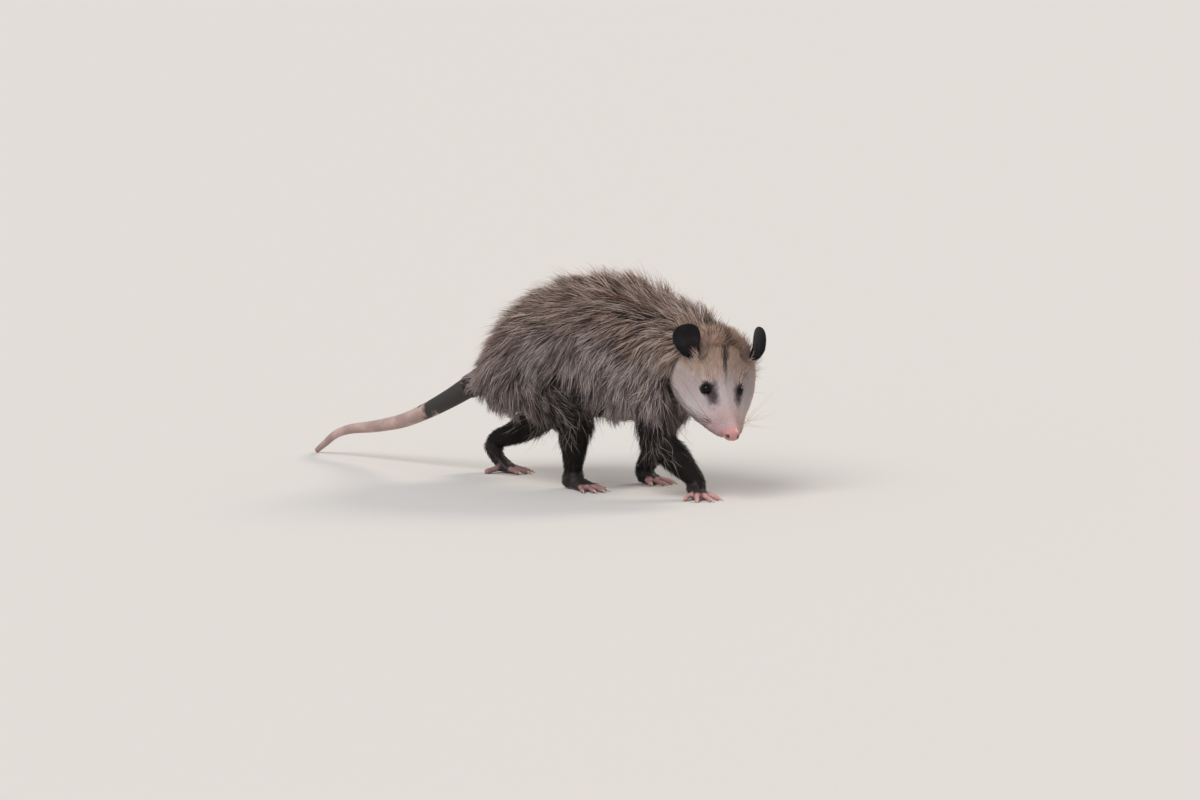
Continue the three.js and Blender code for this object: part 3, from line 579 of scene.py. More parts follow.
class Grid:
    """Distances to a skin in a frame of its own. Forms are joined to it softly, or cut from it."""

    def __init__(self, frame, low, high, cube):
        self.frame, self.low, self.cube = frame, np.array(low, float), cube
        self.count = tuple(np.ceil((np.array(high) - low) / cube).astype(int) + 1)
        self.value = np.full(self.count, BAND, np.float32)

    def places(self):
        lines = [self.low[k] + self.cube * np.arange(self.count[k], dtype=np.float32) for k in range(3)]
        return np.meshgrid(*lines, indexing="ij", sparse=True)

    def tube(self, tube, soft, sides=64, start=0.0, end=1.0, depth=None):
        first, last = int(start * (len(tube.at) - 1)), int(end * (len(tube.at) - 1))
        points, quads, ends = loft(tube.rings(sides, depth)[first:last + 1])
        self.form(self.frame.inside(points), quads, ends, soft)

    def form(self, points, quads, ends, soft):
        level = openvdb.FloatGrid.createLevelSetFromPolygons(
            ((points - self.low) / self.cube).astype(np.float32),
            triangles=ends.astype(np.uint32), quads=quads.astype(np.uint32), halfWidth=BAND / self.cube,
        )
        away = np.full(self.count, BAND / self.cube, np.float32)
        level.copyToArray(away)
        self.join(away * self.cube, soft)

    def join(self, away, soft):
        share = np.clip(0.5 + 0.5 * (self.value - away) / soft, 0, 1)
        self.value = (self.value + (away - self.value) * share - soft * share * (1 - share)).astype(np.float32)

    def cut(self, away, soft):
        share = np.clip(0.5 - 0.5 * (self.value + away) / soft, 0, 1)
        self.value = (self.value - (self.value + away) * share + soft * share * (1 - share)).astype(np.float32)

    def surface(self):
        """The skin's points in the frame of the body, and its faces."""
        value = self.value.copy()
        for axis in range(3):
            edge = [slice(None)] * 3
            for end in (0, -1):
                edge[axis] = end
                value[tuple(edge)] = BAND
        grid = openvdb.FloatGrid(BAND)
        grid.copyFromArray(value)
        points, quads = grid.convertToQuads()
        points = points.astype(float) * self.cube + self.low
        quads = quads.astype(np.int64)
        a, b, c, d = (points[quads[:, k]] for k in range(4))
        if (np.cross(c - a, d - b) * (a + b + c + d)).sum() < 0:
            quads = quads[:, ::-1]
        return self.frame.outside(points), quads


def ball(places, at, size):
    """Distances to a ball of three sizes, near enough for a small form."""
    x, y, z = ((place - centre) / half for place, centre, half in zip(places, at, size))
    out = np.sqrt(x * x + y * y + z * z)
    return (out - 1) * min(size)


def cord(places, points, radii):
    """Distances to a round cord through points."""
    away = None
    for a, b, ra, rb in zip(points[:-1], points[1:], radii[:-1], radii[1:]):
        a, b = np.array(a, float), np.array(b, float)
        run = b - a
        off = [place - centre for place, centre in zip(places, a)]
        share = np.clip(sum(o * r for o, r in zip(off, run)) / (run @ run), 0, 1)
        near = sum((o - share * r) ** 2 for o, r in zip(off, run))
        one = np.sqrt(near) - (ra + (rb - ra) * share)
        away = one if away is None else np.minimum(away, one)
    return away


def on_face(x, z, out=0.0):
    """A point of the head's skin on its left side, at a distance ahead and a height below the widest line."""
    i = np.abs(FACE_TUBE.at[:, 0] - x).argmin()
    bottom = FACE_TUBE.bottom[i] - FACE_TUBE.depth[i]
    drop = np.clip((FACE_TUBE.at[i, 2] - z) / bottom, 0, 0.97)
    return np.array([x, (FACE_TUBE.wide[i] - FACE_TUBE.depth[i]) * math.sqrt(1 - drop * drop) + out, z])


WRIST = (0.8, 0.9)  # the skin of a paw starts at the first share of its leg, and the body's ends at the second
WRIST_REACH, ANKLE_SIZE = 40, 0.98  # how near to a wrist a leg is cut off; the ankle, as a share of the leg's end
NECK_CUT, SKINS_OVERLAP = -50, 8  # the head's skin ends under the ruff, and the body's a little ahead of that
HEAD_REACH = 66  # the body's skin is cut off only this near to the head


def head_skin():
    """The head and nose with all that is modelled in them, and the neck that they grow from."""
    grid = Grid(HEAD_FRAME, *HEAD_ROOM, HEAD_CUBE)
    grid.form(*loft(FACE_TUBE.rings(96)), soft=1)
    grid.tube(NECK_TUBE, 8)
    grid.form(*loft(face_tube(NOSE, NOSE_DEPTH, 24).rings(48)), soft=2.5)
    x, y, z = grid.places()
    half = (x, np.abs(y), z)
    for middle, size, soft in SWELLINGS:
        grid.join(ball(half, middle, size), soft)
    # the pocket of the eye, with the ring under its lids
    grid.cut(ball(half, EYE_AT + EYE_LOOK * POCKET_AHEAD, (POCKET_RADIUS,) * 3), 2.2)
    grid.join(lid_ring(half), 1.1)
    grid.cut(ball(half, EYE_AT, (EYE_RADIUS - 0.05,) * 3), 0.3)
    # lips and the line between them
    line = [on_face(*row[:2]) for row in MOUTH] + [np.array(MOUTH_FRONT[:3])]
    upper, lower, gap = zip(*(row[-3:] for row in (*MOUTH, MOUTH_FRONT)))
    grid.join(cord(half, [point + UPPER_LIP for point in line], upper), 2.5)
    grid.join(cord(half, [point + LOWER_LIP for point in line], lower), 2.5)
    grid.cut(cord(half, line, gap), 0.9)
    # nostrils, open to the side, and the grooves of the nose pad
    grid.cut(ball(half, NOSTRIL_AT, NOSTRIL_SIZE), 0.8)
    for groove, radii, soft in NOSE_GROOVES:
        grid.cut(cord(half, groove, radii), soft)
    grid.cut(x - NECK_CUT, 0.5)
    return grid.surface()


def lid_ring(half):
    """Distances to the fleshy ring that the lids lie on."""
    off = [place - centre for place, centre in zip(half, EYE_AT + EYE_LOOK * RING_AHEAD)]
    depth = sum(o * ahead for o, ahead in zip(off, EYE_LOOK))
    apart = np.sqrt(np.maximum(sum(o * o for o in off) - depth * depth, 1e-6))
    return np.sqrt((apart - RING_RADIUS) ** 2 + (depth * 0.9) ** 2) - RING_THICK


def body_skin():
    """The trunk, neck, legs and root of the tail, up to the head's skin and the paws'."""
    grid = Grid(BODY, *BODY_ROOM, BODY_CUBE)
    grid.tube(TRUNK_TUBE, 1)
    grid.tube(NECK_TUBE, 14)
    grid.tube(HEAD_TUBE, 8)
    for tube in LIMB_TUBES.values():
        grid.tube(tube, 9)
    tail = PART_TUBES["tail"]
    stub = smooth_rows(STUB_DEPTH, np.linspace(0, 1, len(tail.at)) / STUB_END)[:, 0]
    grid.tube(tail, 6, end=STUB_END, depth=stub)
    places = grid.places()
    ahead = sum((place - at) * way for place, at, way in zip(places, HEAD_AT, HEAD_FRAME.axes[0]))
    from_head = np.sqrt(sum((place - at) ** 2 for place, at in zip(places, HEAD_AT - 5 * HEAD_FRAME.axes[0])))
    grid.cut(np.maximum(NECK_CUT + SKINS_OVERLAP - ahead, from_head - HEAD_REACH), 0.5)
    for name in PAWS:
        grid.cut(beyond_wrist(name, places, WRIST[1]), 0.5)
    return grid.surface()


def beyond_wrist(name, places, share):
    """Distances to the part of a leg past a share of its length, near the foot alone."""
    tube = LIMB_TUBES[PAWS[name][0]]
    i = int(share * (len(tube.at) - 1))
    past = sum((place - at) * way for place, at, way in zip(places, tube.at[i], tube.ahead[i]))
    near = np.sqrt(sum((place - at) ** 2 for place, at in zip(places, tube.at[i]))) - WRIST_REACH
    return np.maximum(-past, near)


def toe_line(toe, side):
    """A toe's joints in the frame of its paw, with their half thickness."""
    turn, x, y, long, thick, _ = toe
    thick *= TOE_SLIM
    turn = math.radians(-turn * side)
    ahead = np.array([math.cos(turn), math.sin(turn), 0])
    root = np.array([x, -y * side, TOE_ROOT - TOE_PRESS])
    points = [root + ahead * long * share + (0, 0, lift) for share, lift, _ in TOE_JOINTS]
    return points, [thick * size for _, _, size in TOE_JOINTS], ahead


def paw_skin(name):
    """A paw with its toes, from the end of its leg to the floor."""
    leg, sole, toes, _, _, side = PAWS[name]
    paw = paw_frame(name)
    grid = Grid(paw, *PAW_ROOM, PAW_CUBE)
    table = smooth_rows(sole, np.linspace(0, 1, 32))
    at = np.stack([table[:, 0], 0 * table[:, 0], table[:, 1] - TOE_PRESS], 1)
    ahead = unit(np.gradient(at, axis=0))
    up = np.stack([-ahead[:, 2], 0 * ahead[:, 0], ahead[:, 0]], 1)
    form = Tube(at, (0, -1, 0), up, table[:, 2], table[:, 3], table[:, 3], 2, SOLE_DEPTH)
    grid.form(*loft(form.rings(40)), soft=1)
    tube = LIMB_TUBES[leg]
    within = 3 * step(WRIST[1] + 0.02, WRIST[0], np.linspace(0, 1, len(tube.at)))
    grid.tube(tube, 5, 40, start=WRIST[0], depth=tube.depth + within)
    places = grid.places()
    # the ankle is round where the leg ends in it
    size = ANKLE_SIZE * (tube.wide[-1] - tube.depth[-1])
    grid.join(ball(places, paw.inside(tube.at[-1]), (size,) * 3), 4)
    for toe in toes:
        points, radii, _ = toe_line(toe, side)
        grid.join(cord(places, points, radii), 1.6)
        tip = points[-1]
        grid.join(ball(places, tip - (0, 0, 0.5), (radii[-1] * 1.05,) * 3), 1.2)
    grid.cut(places[2] - 0.02, 0.3)
    return grid.surface()


# Markings of the coat, the same for the skin and for every tuft

def lobes(points, scale, seed):
    """A slow random value from 0 to 1 over the body, made of a few waves."""
    rng = np.random.default_rng(seed)
    ways = unit(rng.normal(size=(9, 3))) * rng.uniform(0.6, 1.7, (9, 1)) / scale
    return 0.5 + 0.5 * np.tanh(np.sin(points @ ways.T * 2 * np.pi + rng.uniform(0, 6.3, 9)).sum(1) / 2.2)


CLAIM_FADE, TRUNK_CLAIM = 5.0, 0.7  # a part's claim fades over this many millimetres; the trunk's is weaker


def regions(points):
    """How much each part of the body claims each point, and the point's place on that part."""
    claims, places = {}, {}
    for name, tube in PART_TUBES.items():
        i, x, z, out, away = tube.nearest(points)
        claims[name] = np.exp(-away / CLAIM_FADE) * (TRUNK_CLAIM if name == "trunk" else 1)
        places[name] = (i, x / np.maximum(out, 1e-6), z / np.maximum(out, 1e-6), tube.share(i))
    total = sum(claims.values()) + 1e-9
    return {name: claim / total for name, claim in claims.items()}, places


def markings(points, claims, places):
    """Shares of dark, cream and warm hair, of naked pink skin, and of the colours of the face."""
    mirrored = beside_head(points)
    x, y, z = mirrored.T
    uneven, fine = lobes(points, 26, 3), lobes(points, 9, 4)

    # The pale face, the grey crown with the dark stripe down it, and the dark nape
    on_head = claims["head"] * step(-58, -46, x)
    cheek = step(6, -12, z)
    face = on_head * step(-52 + 10 * fine, -40 + 8 * fine, x + 9 * cheek)
    upper = (claims["head"] + claims["neck"]) * step(-78, -62, x)
    crown = upper * step(-8, 10, z + 0.24 * y - 11 + 4 * (fine - 0.5)) * step(14, -4, x)
    width = 1.4 + 2.4 * step(-2, -22, x) + 10 * step(-34, -66, x)
    stripe = upper * step(width, 0.3 * width, y + 1.6 * (fine - 0.5)) * step(14, -8, x) * step(-4, 2, z)
    stripe = stripe * (0.42 + 0.46 * step(-4, -15, x))
    nape = step(-54, -74, x) * step(30, 8, y + 10 * (uneven - 0.5)) * step(4, 22, z) * step(-150, -85, x)
    # The dusky patch before each eye, with painted shade down the sides of the snout, the dark round the eye and behind
    # the ear, painted shade along the lips, and the pink of the nose
    patch = np.hypot((x - 9.5) / 12, (y - 13.8 + 0.16 * (x - 8)) / 5.8)
    # the second part darkens the sides of the snout towards the nose: painted shade
    patch = on_head * (step(1.5, 0.35, patch + 0.3 * (fine - 0.5)) + 0.26 * step(20, 42, x) * step(1, 8, y))
    rim = step(8.6, 6.5, np.linalg.norm(mirrored - LID_AT, axis=1))
    behind_ear = step(15, 7, np.linalg.norm(mirrored - (EAR_ROOT + (-1, 9, -1)), axis=1))
    nostril = step(3.4, 1.6, np.linalg.norm((mirrored - NOSTRIL_AT) * (1, 1.2, 1.2), axis=1))
    # darker along the line of the mouth: painted shade of its crease
    lip = on_head * step(2.6, 0.8, from_mouth(mirrored)) * step(48, 30, x)
    pink = on_head * (0.42 * step(10, 42, x) + 0.58 * step(47, 52, x + 2 * (fine - 0.5)))

    # Dark legs, haunches and root of the tail
    leg = 0
    for name in LIMBS:
        start = 0.16 if name.startswith("fore") else 0.14
        leg = leg + claims[name] * step(start - 0.08, start + 0.14, places[name][3] + 0.14 * (uneven - 0.5))
        if name.startswith("hind"):
            haunch = np.linalg.norm(points - (np.array(LIMBS[name][1][:3]) + (18, 0, 6)), axis=1)
            leg = leg + 0.85 * claims["trunk"] * step(58, 24, haunch + 26 * (uneven - 0.5))
    tail = claims["tail"] * step(0.13, 0.24, places["tail"][3] + 0.06 * (fine - 0.5))

    # The coat: warmer along the back, mottled darker, and paler in patches below
    height = places["trunk"][2]
    warm = claims["trunk"] * step(0.35, 0.9, height)
    warm = warm + claims["neck"] * (0.35 + 0.65 * step(0.1, 0.7, places["neck"][2]))
    shoulder = claims["trunk"] * step(60, 110, points[:, 0])
    mottled = 0.34 * step(0.45, 0.85, lobes(points, 24, 6)) + 0.22 * step(0.5, 1, lobes(points, 11, 8))
    mottled = claims["trunk"] * mottled
    pale = claims["trunk"] * step(0.5, 0.9, lobes(points, 34, 5)) * step(0.85, 0.2, height) * 0.6
    pale = pale + claims["neck"] * (0.2 + 0.3 * step(0.3, 0.9, lobes(points, 18, 9)))
    dark = stripe + nape * (0.3 + 0.3 * fine) + leg + tail + 0.6 * behind_ear + mottled * (1 - pale)
    return {
        "dark": np.clip(dark + rim + nostril + 0.45 * lip, 0, 1),
        "cream": np.clip(face + pale * (1 - face), 0, 1),
        "warm": np.clip(warm + 0.6 * shoulder + nape + stripe, 0, 1),
        "pink": pink,
        "face": face,
        "bared": np.clip(claims["head"] + claims["neck"] * step(0.5, 0.9, places["neck"][3]), 0, 1),
        "patch": np.clip(patch + 0.35 * lip, 0, 1),
        "grey": np.clip(crown * (0.8 + 0.2 * uneven) + on_head * step(6, -26, x) * (0.22 + 0.3 * fine), 0, 1),
    }


def from_mouth(points):
    """How far points of the head are from the line of the mouth."""
    line = [on_face(*row[:2]) for row in MOUTH]
    return cord(points.T, line, [0] * len(line))


# Where a tuft lies, and how long it is

# Length and rise of the hair, from the back of the head to the nose, down a limb, and along the root of the tail
FACE_HAIR = [
    (32, 9), (29, 7.5), (23, 5.6), (15, 3.6), (10, 2.3), (6.8, 1.4), (5.4, 1.0), (4.6, 0.8), (3.8, 0.6), (3, 0.5),
    (2.2, 0.3),
]
LIMB_HAIR = [(36, 10), (30, 8), (23, 6.2), (15, 3.8), (9.5, 2.1), (7, 1.5)]
STUB_HAIR = [(22, 5), (16, 3), (9, 1.4), (4, 0.5)]


def coat_form(points, normals, claims, places):
    """For each root: the way that its tuft lies, its length, and how far its tip stands off."""
    down = np.array([0.0, 0, -1])
    lie, long, rise = np.zeros_like(points), np.zeros(len(points)), np.zeros(len(points))
    total = np.zeros(len(points))
    for name, claim in claims.items():
        i, side, height, share = places[name]
        claim = claim ** 2 + 1e-6
        if name == "trunk":
            back = np.clip((height - 0.2) / 0.8, 0, 1)
            slant = np.radians(10 + 62 * (1 - back ** 2) * step(-1.0, -0.45, height))
            way = -TRUNK_TUBE.ahead[i]
            here_long = (39 + 6 * back - 14 * step(-0.5, -0.95, height)) * (0.58 + 0.42 * step(0.0, 0.24, share))
            here_rise = (10 + 15 * back ** 2.5 - 6 * step(-0.4, -0.9, height)) * (0.3 + 0.7 * step(0.12, 0.5, share))
        elif name == "neck":
            back = np.clip((height - 0.1) / 0.9, 0, 1)
            slant = np.radians(8 + 48 * (1 - back ** 2))
            way = -NECK_TUBE.ahead[i]
            by_head = step(0.4, 1, share)
            here_long, here_rise = (30 + 8 * back) * (1 - 0.15 * by_head), 8 + 12 * back ** 2 * (1 - 0.4 * by_head)
        elif name == "head":
            cheek = step(0.25, -0.35, height) * step(0.62, 0.36, share)
            slant = np.radians(10 + 18 * step(0.2, -0.6, height))
            way = -HEAD_TUBE.ahead[i]
            here_long, here_rise = smooth_rows(FACE_HAIR, share).T * (1 + np.array([[0.35], [0.3]]) * cheek)
            by_eye = step(11, 6.5, np.linalg.norm(beside_head(points) - LID_AT, axis=1))
            here_long, here_rise = here_long * (1 - 0.6 * by_eye), here_rise * (1 - 0.75 * by_eye)
        elif name == "tail":
            slant, way = 0.12, PART_TUBES["tail"].ahead[i]
            here_long, here_rise = smooth_rows(STUB_HAIR, share / STUB_END).T
        else:
            slant, way = 0.1, unit(LIMB_TUBES[name].ahead[i] + (-0.12, 0, 0))
            here_long, here_rise = smooth_rows(LIMB_HAIR, share).T
        slant = np.broadcast_to(slant, len(points))[:, None]
        lie += claim[:, None] * unit(np.cos(slant) * across(way, normals) + np.sin(slant) * across(down, normals))
        long += claim * here_long
        rise += claim * here_rise
        total += claim
    lie, long, rise = unit(across(lie, normals)), long / total, rise / total
    # the long coat lies in slow waves
    shaggy = step(9, 24, long)
    turn = shaggy * (0.75 * (lobes(points, 44, 11) - 0.5) + 0.6 * (lobes(points, 17, 12) - 0.5))
    lie = lie * np.cos(turn)[:, None] + np.cross(normals, lie) * np.sin(turn)[:, None]
    rise = rise * (1 + shaggy * 0.6 * (lobes(points, 13, 13) - 0.4))
    return lie, long, rise


# How far a tuft bends sideways for its length, and how many waves it has
BEND, WAVES = 0.10, (0.3, 0.65)


class Roots:
    """Places on the skin that tufts grow from, drawn at random with a density over the skin."""

    def __init__(self, skin, density, count, rng):
        points, normals, quads, area = skin
        corners = np.concatenate([quads[:, :3], quads[:, [0, 2, 3]]])
        area = np.tile(area / 2, 2)
        weight = area * np.tile(density, 2)
        pick = np.searchsorted(np.cumsum(weight), rng.uniform(0, weight.sum(), count)).clip(0, len(area) - 1)
        a, b = rng.uniform(size=(2, count))
        a, b = np.where(a + b > 1, 1 - a, a), np.where(a + b > 1, 1 - b, b)
        share = np.stack([1 - a - b, a, b], 1)[..., None]
        self.at = (points[corners[pick]] * share).sum(1)
        self.normal = unit((normals[corners[pick]] * share).sum(1))
        self.claims, self.places = regions(self.at)
        self.lie, self.long, self.rise = coat_form(self.at, self.normal, self.claims, self.places)
        self.marks = markings(self.at, self.claims, self.places)

    def paths(self, shares, rng, tilt, uneven, wave=0.0, lift=1.0):
        """The line of each tuft: it springs from the skin, then bends over and lies along the coat."""
        count = len(self.at)
        turn = rng.normal(0, tilt, count)[:, None]
        side = np.cross(self.normal, self.lie)
        lie = self.lie * np.cos(turn) + side * np.sin(turn)
        side = np.cross(self.normal, lie)
        long = self.long * rng.uniform(1 - uneven, 1 + 0.5 * uneven, count)
        rise = np.minimum(self.rise * lift * rng.uniform(0.6, 1.15, count), 0.85 * long)
        run = np.sqrt(long ** 2 - rise ** 2)
        bend = rng.normal(0, BEND, count) * long
        phase, waves = rng.uniform(0, 6.3, count), rng.uniform(*WAVES, count)
        t = np.asarray(shares)[None]
        out = rise[:, None] * (1 - (1 - t) ** 1.6)
        sway = bend[:, None] * t ** 2 + wave * long[:, None] * np.sin(phase[:, None] + 6.3 * waves[:, None] * t) * t
        along = run[:, None] * t ** 1.08
        return (self.at[:, None] + lie[:, None] * along[..., None] + self.normal[:, None] * out[..., None]
                + side[:, None] * sway[..., None])


def gather(paths, roots, leaders, leader_roots, pull, shares):
    """Draws each line towards that of the nearest leader, more so towards its tip."""
    tree = KDTree(len(leader_roots))
    for k, root in enumerate(leader_roots):
        tree.insert(root, k)
    tree.balance()
    nearest = np.array([tree.find(root)[1] for root in roots])
    amount = (pull * np.asarray(shares) ** 0.8)[None, :, None]
    return paths + (leaders[nearest] - paths) * amount, nearest


# By a tuft's number of rings: its width at each of them, and how many such tufts are in one piece
TAPER = {2: (0.85, 0.9), 3: (0.75, 1, 0.7), 4: (0.7, 1, 0.85, 0.55)}
PIECE_TUFTS = {2: 19000, 3: 11000, 4: 8000}
TUFT_THICK = 0.28  # of a tuft's width
PATCH = 0.003  # size of a tuft's patch on the unwrap
ROOT_DEEP, FLOOR_GAP = 0.4, 0.3  # how far a tuft starts below the skin, and the least that it stays above the floor


def coat_mesh(name, paths, normals, widths, marks, hair, unwrap, long, finish):
    """One joined mesh of flat three-sided tufts along the given lines, which end in points."""
    count, steps = paths.shape[:2]
    rings = steps - 1
    ahead = unit(np.gradient(paths, axis=1))
    side = unit(np.cross(ahead, normals[:, None]))
    out = np.cross(side, ahead)
    width = widths[:, None] * np.array(TAPER[rings])[None]
    w, t = (0.5 * width)[..., None], (TUFT_THICK * width)[..., None]
    body = paths[:, :rings]
    three = np.stack([body + side[:, :rings] * w, body + out[:, :rings] * t, body - side[:, :rings] * w], 2)
    points = np.concatenate([three.reshape(count, rings * 3, 3), paths[:, -1:]], 1)
    each = rings * 3 + 1
    corners, sizes, below = [0, 1, 2], [3], [0, 0, 0]
    for ring in range(rings - 1):
        for k in range(3):
            a, b = ring * 3 + k, ring * 3 + (k + 1) % 3
            corners += [a, a + 3, b + 3, b]
            sizes.append(4)
            below += [k == 2] * 4
    for k in range(3):
        corners += [(rings - 1) * 3 + k, rings * 3, (rings - 1) * 3 + (k + 1) % 3]
        sizes.append(3)
        below += [k == 2] * 3
    every = (np.array(corners)[None] + each * np.arange(count)[:, None]).ravel()
    mesh = build_mesh(name, points.reshape(-1, 3), every, np.tile(sizes, count))
    sides = np.stack([side[:, :rings], out[:, :rings], -side[:, :rings]], 2).reshape(count, rings * 3, 3)
    own = (0.12 + 0.38 * step(4, 20, long))[:, None, None]
    faced = unit(own * np.concatenate([sides, out[:, -1:]], 1) + 0.6 * normals[:, None])
    # the underside of a tuft takes its own light
    under = -np.concatenate([np.repeat(out[:, :rings], 3, axis=1), out[:, -1:]], 1)
    faced = np.where(np.array(below, bool)[None, :, None], under[:, corners], faced[:, corners])
    mesh.normals_split_custom_set(faced.reshape(-1, 3).astype(np.float32))
    share = np.concatenate([np.repeat(np.arange(rings) / rings, 3), [1]])
    colour_attribute(mesh, "marks", [np.repeat(marks[key], each) for key in ("dark", "cream", "warm")])
    colour_attribute(mesh, "bare", [np.repeat(marks[key], each) for key in ("pink", "patch", "grey")])
    # painted shade: long hair is coloured darker towards its root, as if shaded by the coat lying over it
    root_shade_amount = (step(5, 24, long) * (1 - 0.7 * marks["bared"]))[:, None]
    shade = 1 - root_shade_amount * (1 - step(0.05, 0.7, share)[None])
    colour_attribute(mesh, "hair", [shade.ravel(), *np.repeat(hair, each, axis=0).T])
    sideways = np.concatenate([np.tile([0, 0.5, 1], rings), [0.5]]) - 0.5
    patch = unwrap[:, None] + PATCH * np.stack([share - 0.5, sideways], 1)[None]
    layer = mesh.uv_layers.new(name="OFBake")
    layer.data.foreach_set("uv", patch.reshape(-1, 2)[every].astype(np.float32).ravel())
    show(name, mesh, finish)


def build_mesh(name, points, corners, sizes):
    """A smooth mesh from points in the frame of the body, corner by corner."""
    mesh = bpy.data.meshes.new(name)
    mesh.vertices.add(len(points))
    mesh.vertices.foreach_set("co", placed(points).astype(np.float32).ravel())
    mesh.loops.add(len(corners))
    mesh.loops.foreach_set("vertex_index", corners.astype(np.int32))
    mesh.polygons.add(len(sizes))
    mesh.polygons.foreach_set("loop_start", np.concatenate([[0], np.cumsum(sizes)[:-1]]).astype(np.int32))
    mesh.polygons.foreach_set("use_smooth", np.ones(len(sizes), bool))
    mesh.update(calc_edges=True)
    return mesh


def mesh_of(name, points, quads, ends=()):
    corners = [quads.ravel()] + ([np.asarray(ends).ravel()] if len(ends) else [])
    sizes = [4] * len(quads) + [3] * len(ends)
    return build_mesh(name, points, np.concatenate(corners), np.array(sizes))


def colour_attribute(mesh, name, parts):
    layer = mesh.attributes.new(name, "FLOAT_COLOR", "POINT")
    table = np.stack([*parts, np.ones(len(parts[0]))], 1)
    layer.data.foreach_set("color", table.astype(np.float32).ravel())


def show(name, mesh, finish):
    mesh.materials.append(finish)
    piece = bpy.data.objects.new(name, mesh)
    bpy.context.scene.collection.objects.link(piece)
    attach(piece, "root")
    return piece


# A patch for every tuft on an unwrap of the skin: each part of the body has its own field, along and round it
FIELDS = {
    "trunk": (0, 0, 0.6, 0.6), "neck": (0.62, 0, 0.37, 0.28), "head": (0.62, 0.3, 0.37, 0.3),
    "tail": (0, 0.62, 0.18, 0.37), "foreleg_right": (0.2, 0.62, 0.18, 0.37), "foreleg_left": (0.4, 0.62, 0.18, 0.37),
    "hindleg_right": (0.6, 0.62, 0.18, 0.37), "hindleg_left": (0.8, 0.62, 0.18, 0.37),
}


def unwrapped(claims, places):
    """Each place's point on the unwrap."""
    names = list(FIELDS)
    owner = np.argmax([claims[name] for name in names], axis=0)
    flat = np.zeros((len(owner), 2))
    for k, name in enumerate(names):
        own = owner == k
        u, v, wide, high = FIELDS[name]
        _, x, z, share = (value[own] for value in places[name])
        flat[own] = np.stack([u + wide * share, v + high * (0.5 + np.arctan2(z, x) / (2 * np.pi))], 1)
    return flat


# The skin pieces

def corner_normals(points, quads):
    """Each point's outward direction, from the faces round it."""
    a, b, c, d = (points[quads[:, k]] for k in range(4))
    face = np.cross(c - a, d - b)
    normals = np.zeros_like(points)
    for k in range(4):
        np.add.at(normals, quads[:, k], face)
    return unit(normals), 0.5 * np.linalg.norm(face, axis=1)


class Skin:
    """Joined skins: their points, faces and markings."""

    def __init__(self, *surfaces):
        self.points, self.quads = joined(surfaces)
        self.normals, self.area = corner_normals(self.points, self.quads)
        claims, places = regions(self.points)
        self.marks = markings(self.points, claims, places)
        middle = self.points[self.quads].mean(1)
        self.claims, self.places = regions(middle)
        self.middle = middle
        self.middle_marks = markings(middle, self.claims, self.places)
        self.buried = buried(middle)

    def mesh(self, name, finish, slot):
        mesh = mesh_of(name, self.points, self.quads)
        colour_attribute(mesh, "marks", [self.marks[key] for key in ("dark", "cream", "warm")])
        colour_attribute(mesh, "bare", [self.marks[key] for key in ("pink", "patch", "grey")])
        # painted shade: the skin is darkened where the coat covers it, so the gaps between tufts look deep; the face,
        # nose and barer head and neck stay light
        painted_coat_shade = 1 - np.clip(self.marks["face"] + self.marks["pink"] + 0.7 * self.marks["bared"], 0, 1)
        colour_attribute(mesh, "under", [painted_coat_shade, 0 * painted_coat_shade, 0 * painted_coat_shade])
        return show(name, mesh, finish)

    def roots(self, density, count, rng):
        return Roots((self.points, self.normals, self.quads, self.area), density, count, rng)


def buried(points):
    """Whether a place lies where the skins of the head and of the body overlap, inside the neck or the head."""
    inside = np.zeros(len(points), bool)
    for tube in (NECK_TUBE, HEAD_TUBE):
        _, _, _, out, away = tube.nearest(points)
        inside |= (out < 0.86) & (away < 6)
    return inside


# Coat

def body_density(skin):
    """How densely the skin is haired: not at all on the nose, eyes, lips, naked tail and paws."""
    head = beside_head(skin.middle)
    eye = np.linalg.norm(head - (EYE_AT + EYE_LOOK * 1.5), axis=1)
    density = np.where(skin.buried, 0, 1.0) * (1 - step(0.55, 0.8, skin.middle_marks["pink"]))
    density = density * step(5.9, 6.5, eye) * step(0.9, 1.8, from_mouth(head) + 20 * (head[:, 0] < 2))
    density = density * (1 - skin.claims["tail"] * step(0.17, 0.23, skin.places["tail"][3]))
    # the fold behind the cheeks is covered by the hair in front of it
    behind = -HEAD_TUBE.ahead[skin.places["head"][0]]
    faces_back = (skin.normals[skin.quads].mean(1) * behind).sum(1)
    density = density * (1 - skin.claims["head"] * step(0.3, 0.6, faces_back))
    for name in PAWS:
        share = skin.places[PAWS[name][0]][3]
        density = density * (1 - (skin.claims[PAWS[name][0]] > 0.4) * step(0.93, 0.99, share))
    return density * (skin.middle[:, 2] > 4)


def clear_of_ears(paths):
    """Which tufts leave the hollow and the back of each ear free."""
    clear = np.ones(len(paths), bool)
    for side in (1, -1):
        up, face, sideways = ear_axes(side)
        off = HEAD_FRAME.inside(paths.reshape(-1, 3)) - EAR_MIDDLE * (1, side, 1)
        flat = np.hypot((off @ sideways) / (EAR_WIDE - 1), (off @ up - 1.5) / (EAR_LONG - 3.9))
        near = (flat < 1) & (off @ face > -9) & (off @ face < 24)
        clear &= ~near.reshape(paths.shape[:2]).any(1)
    return clear


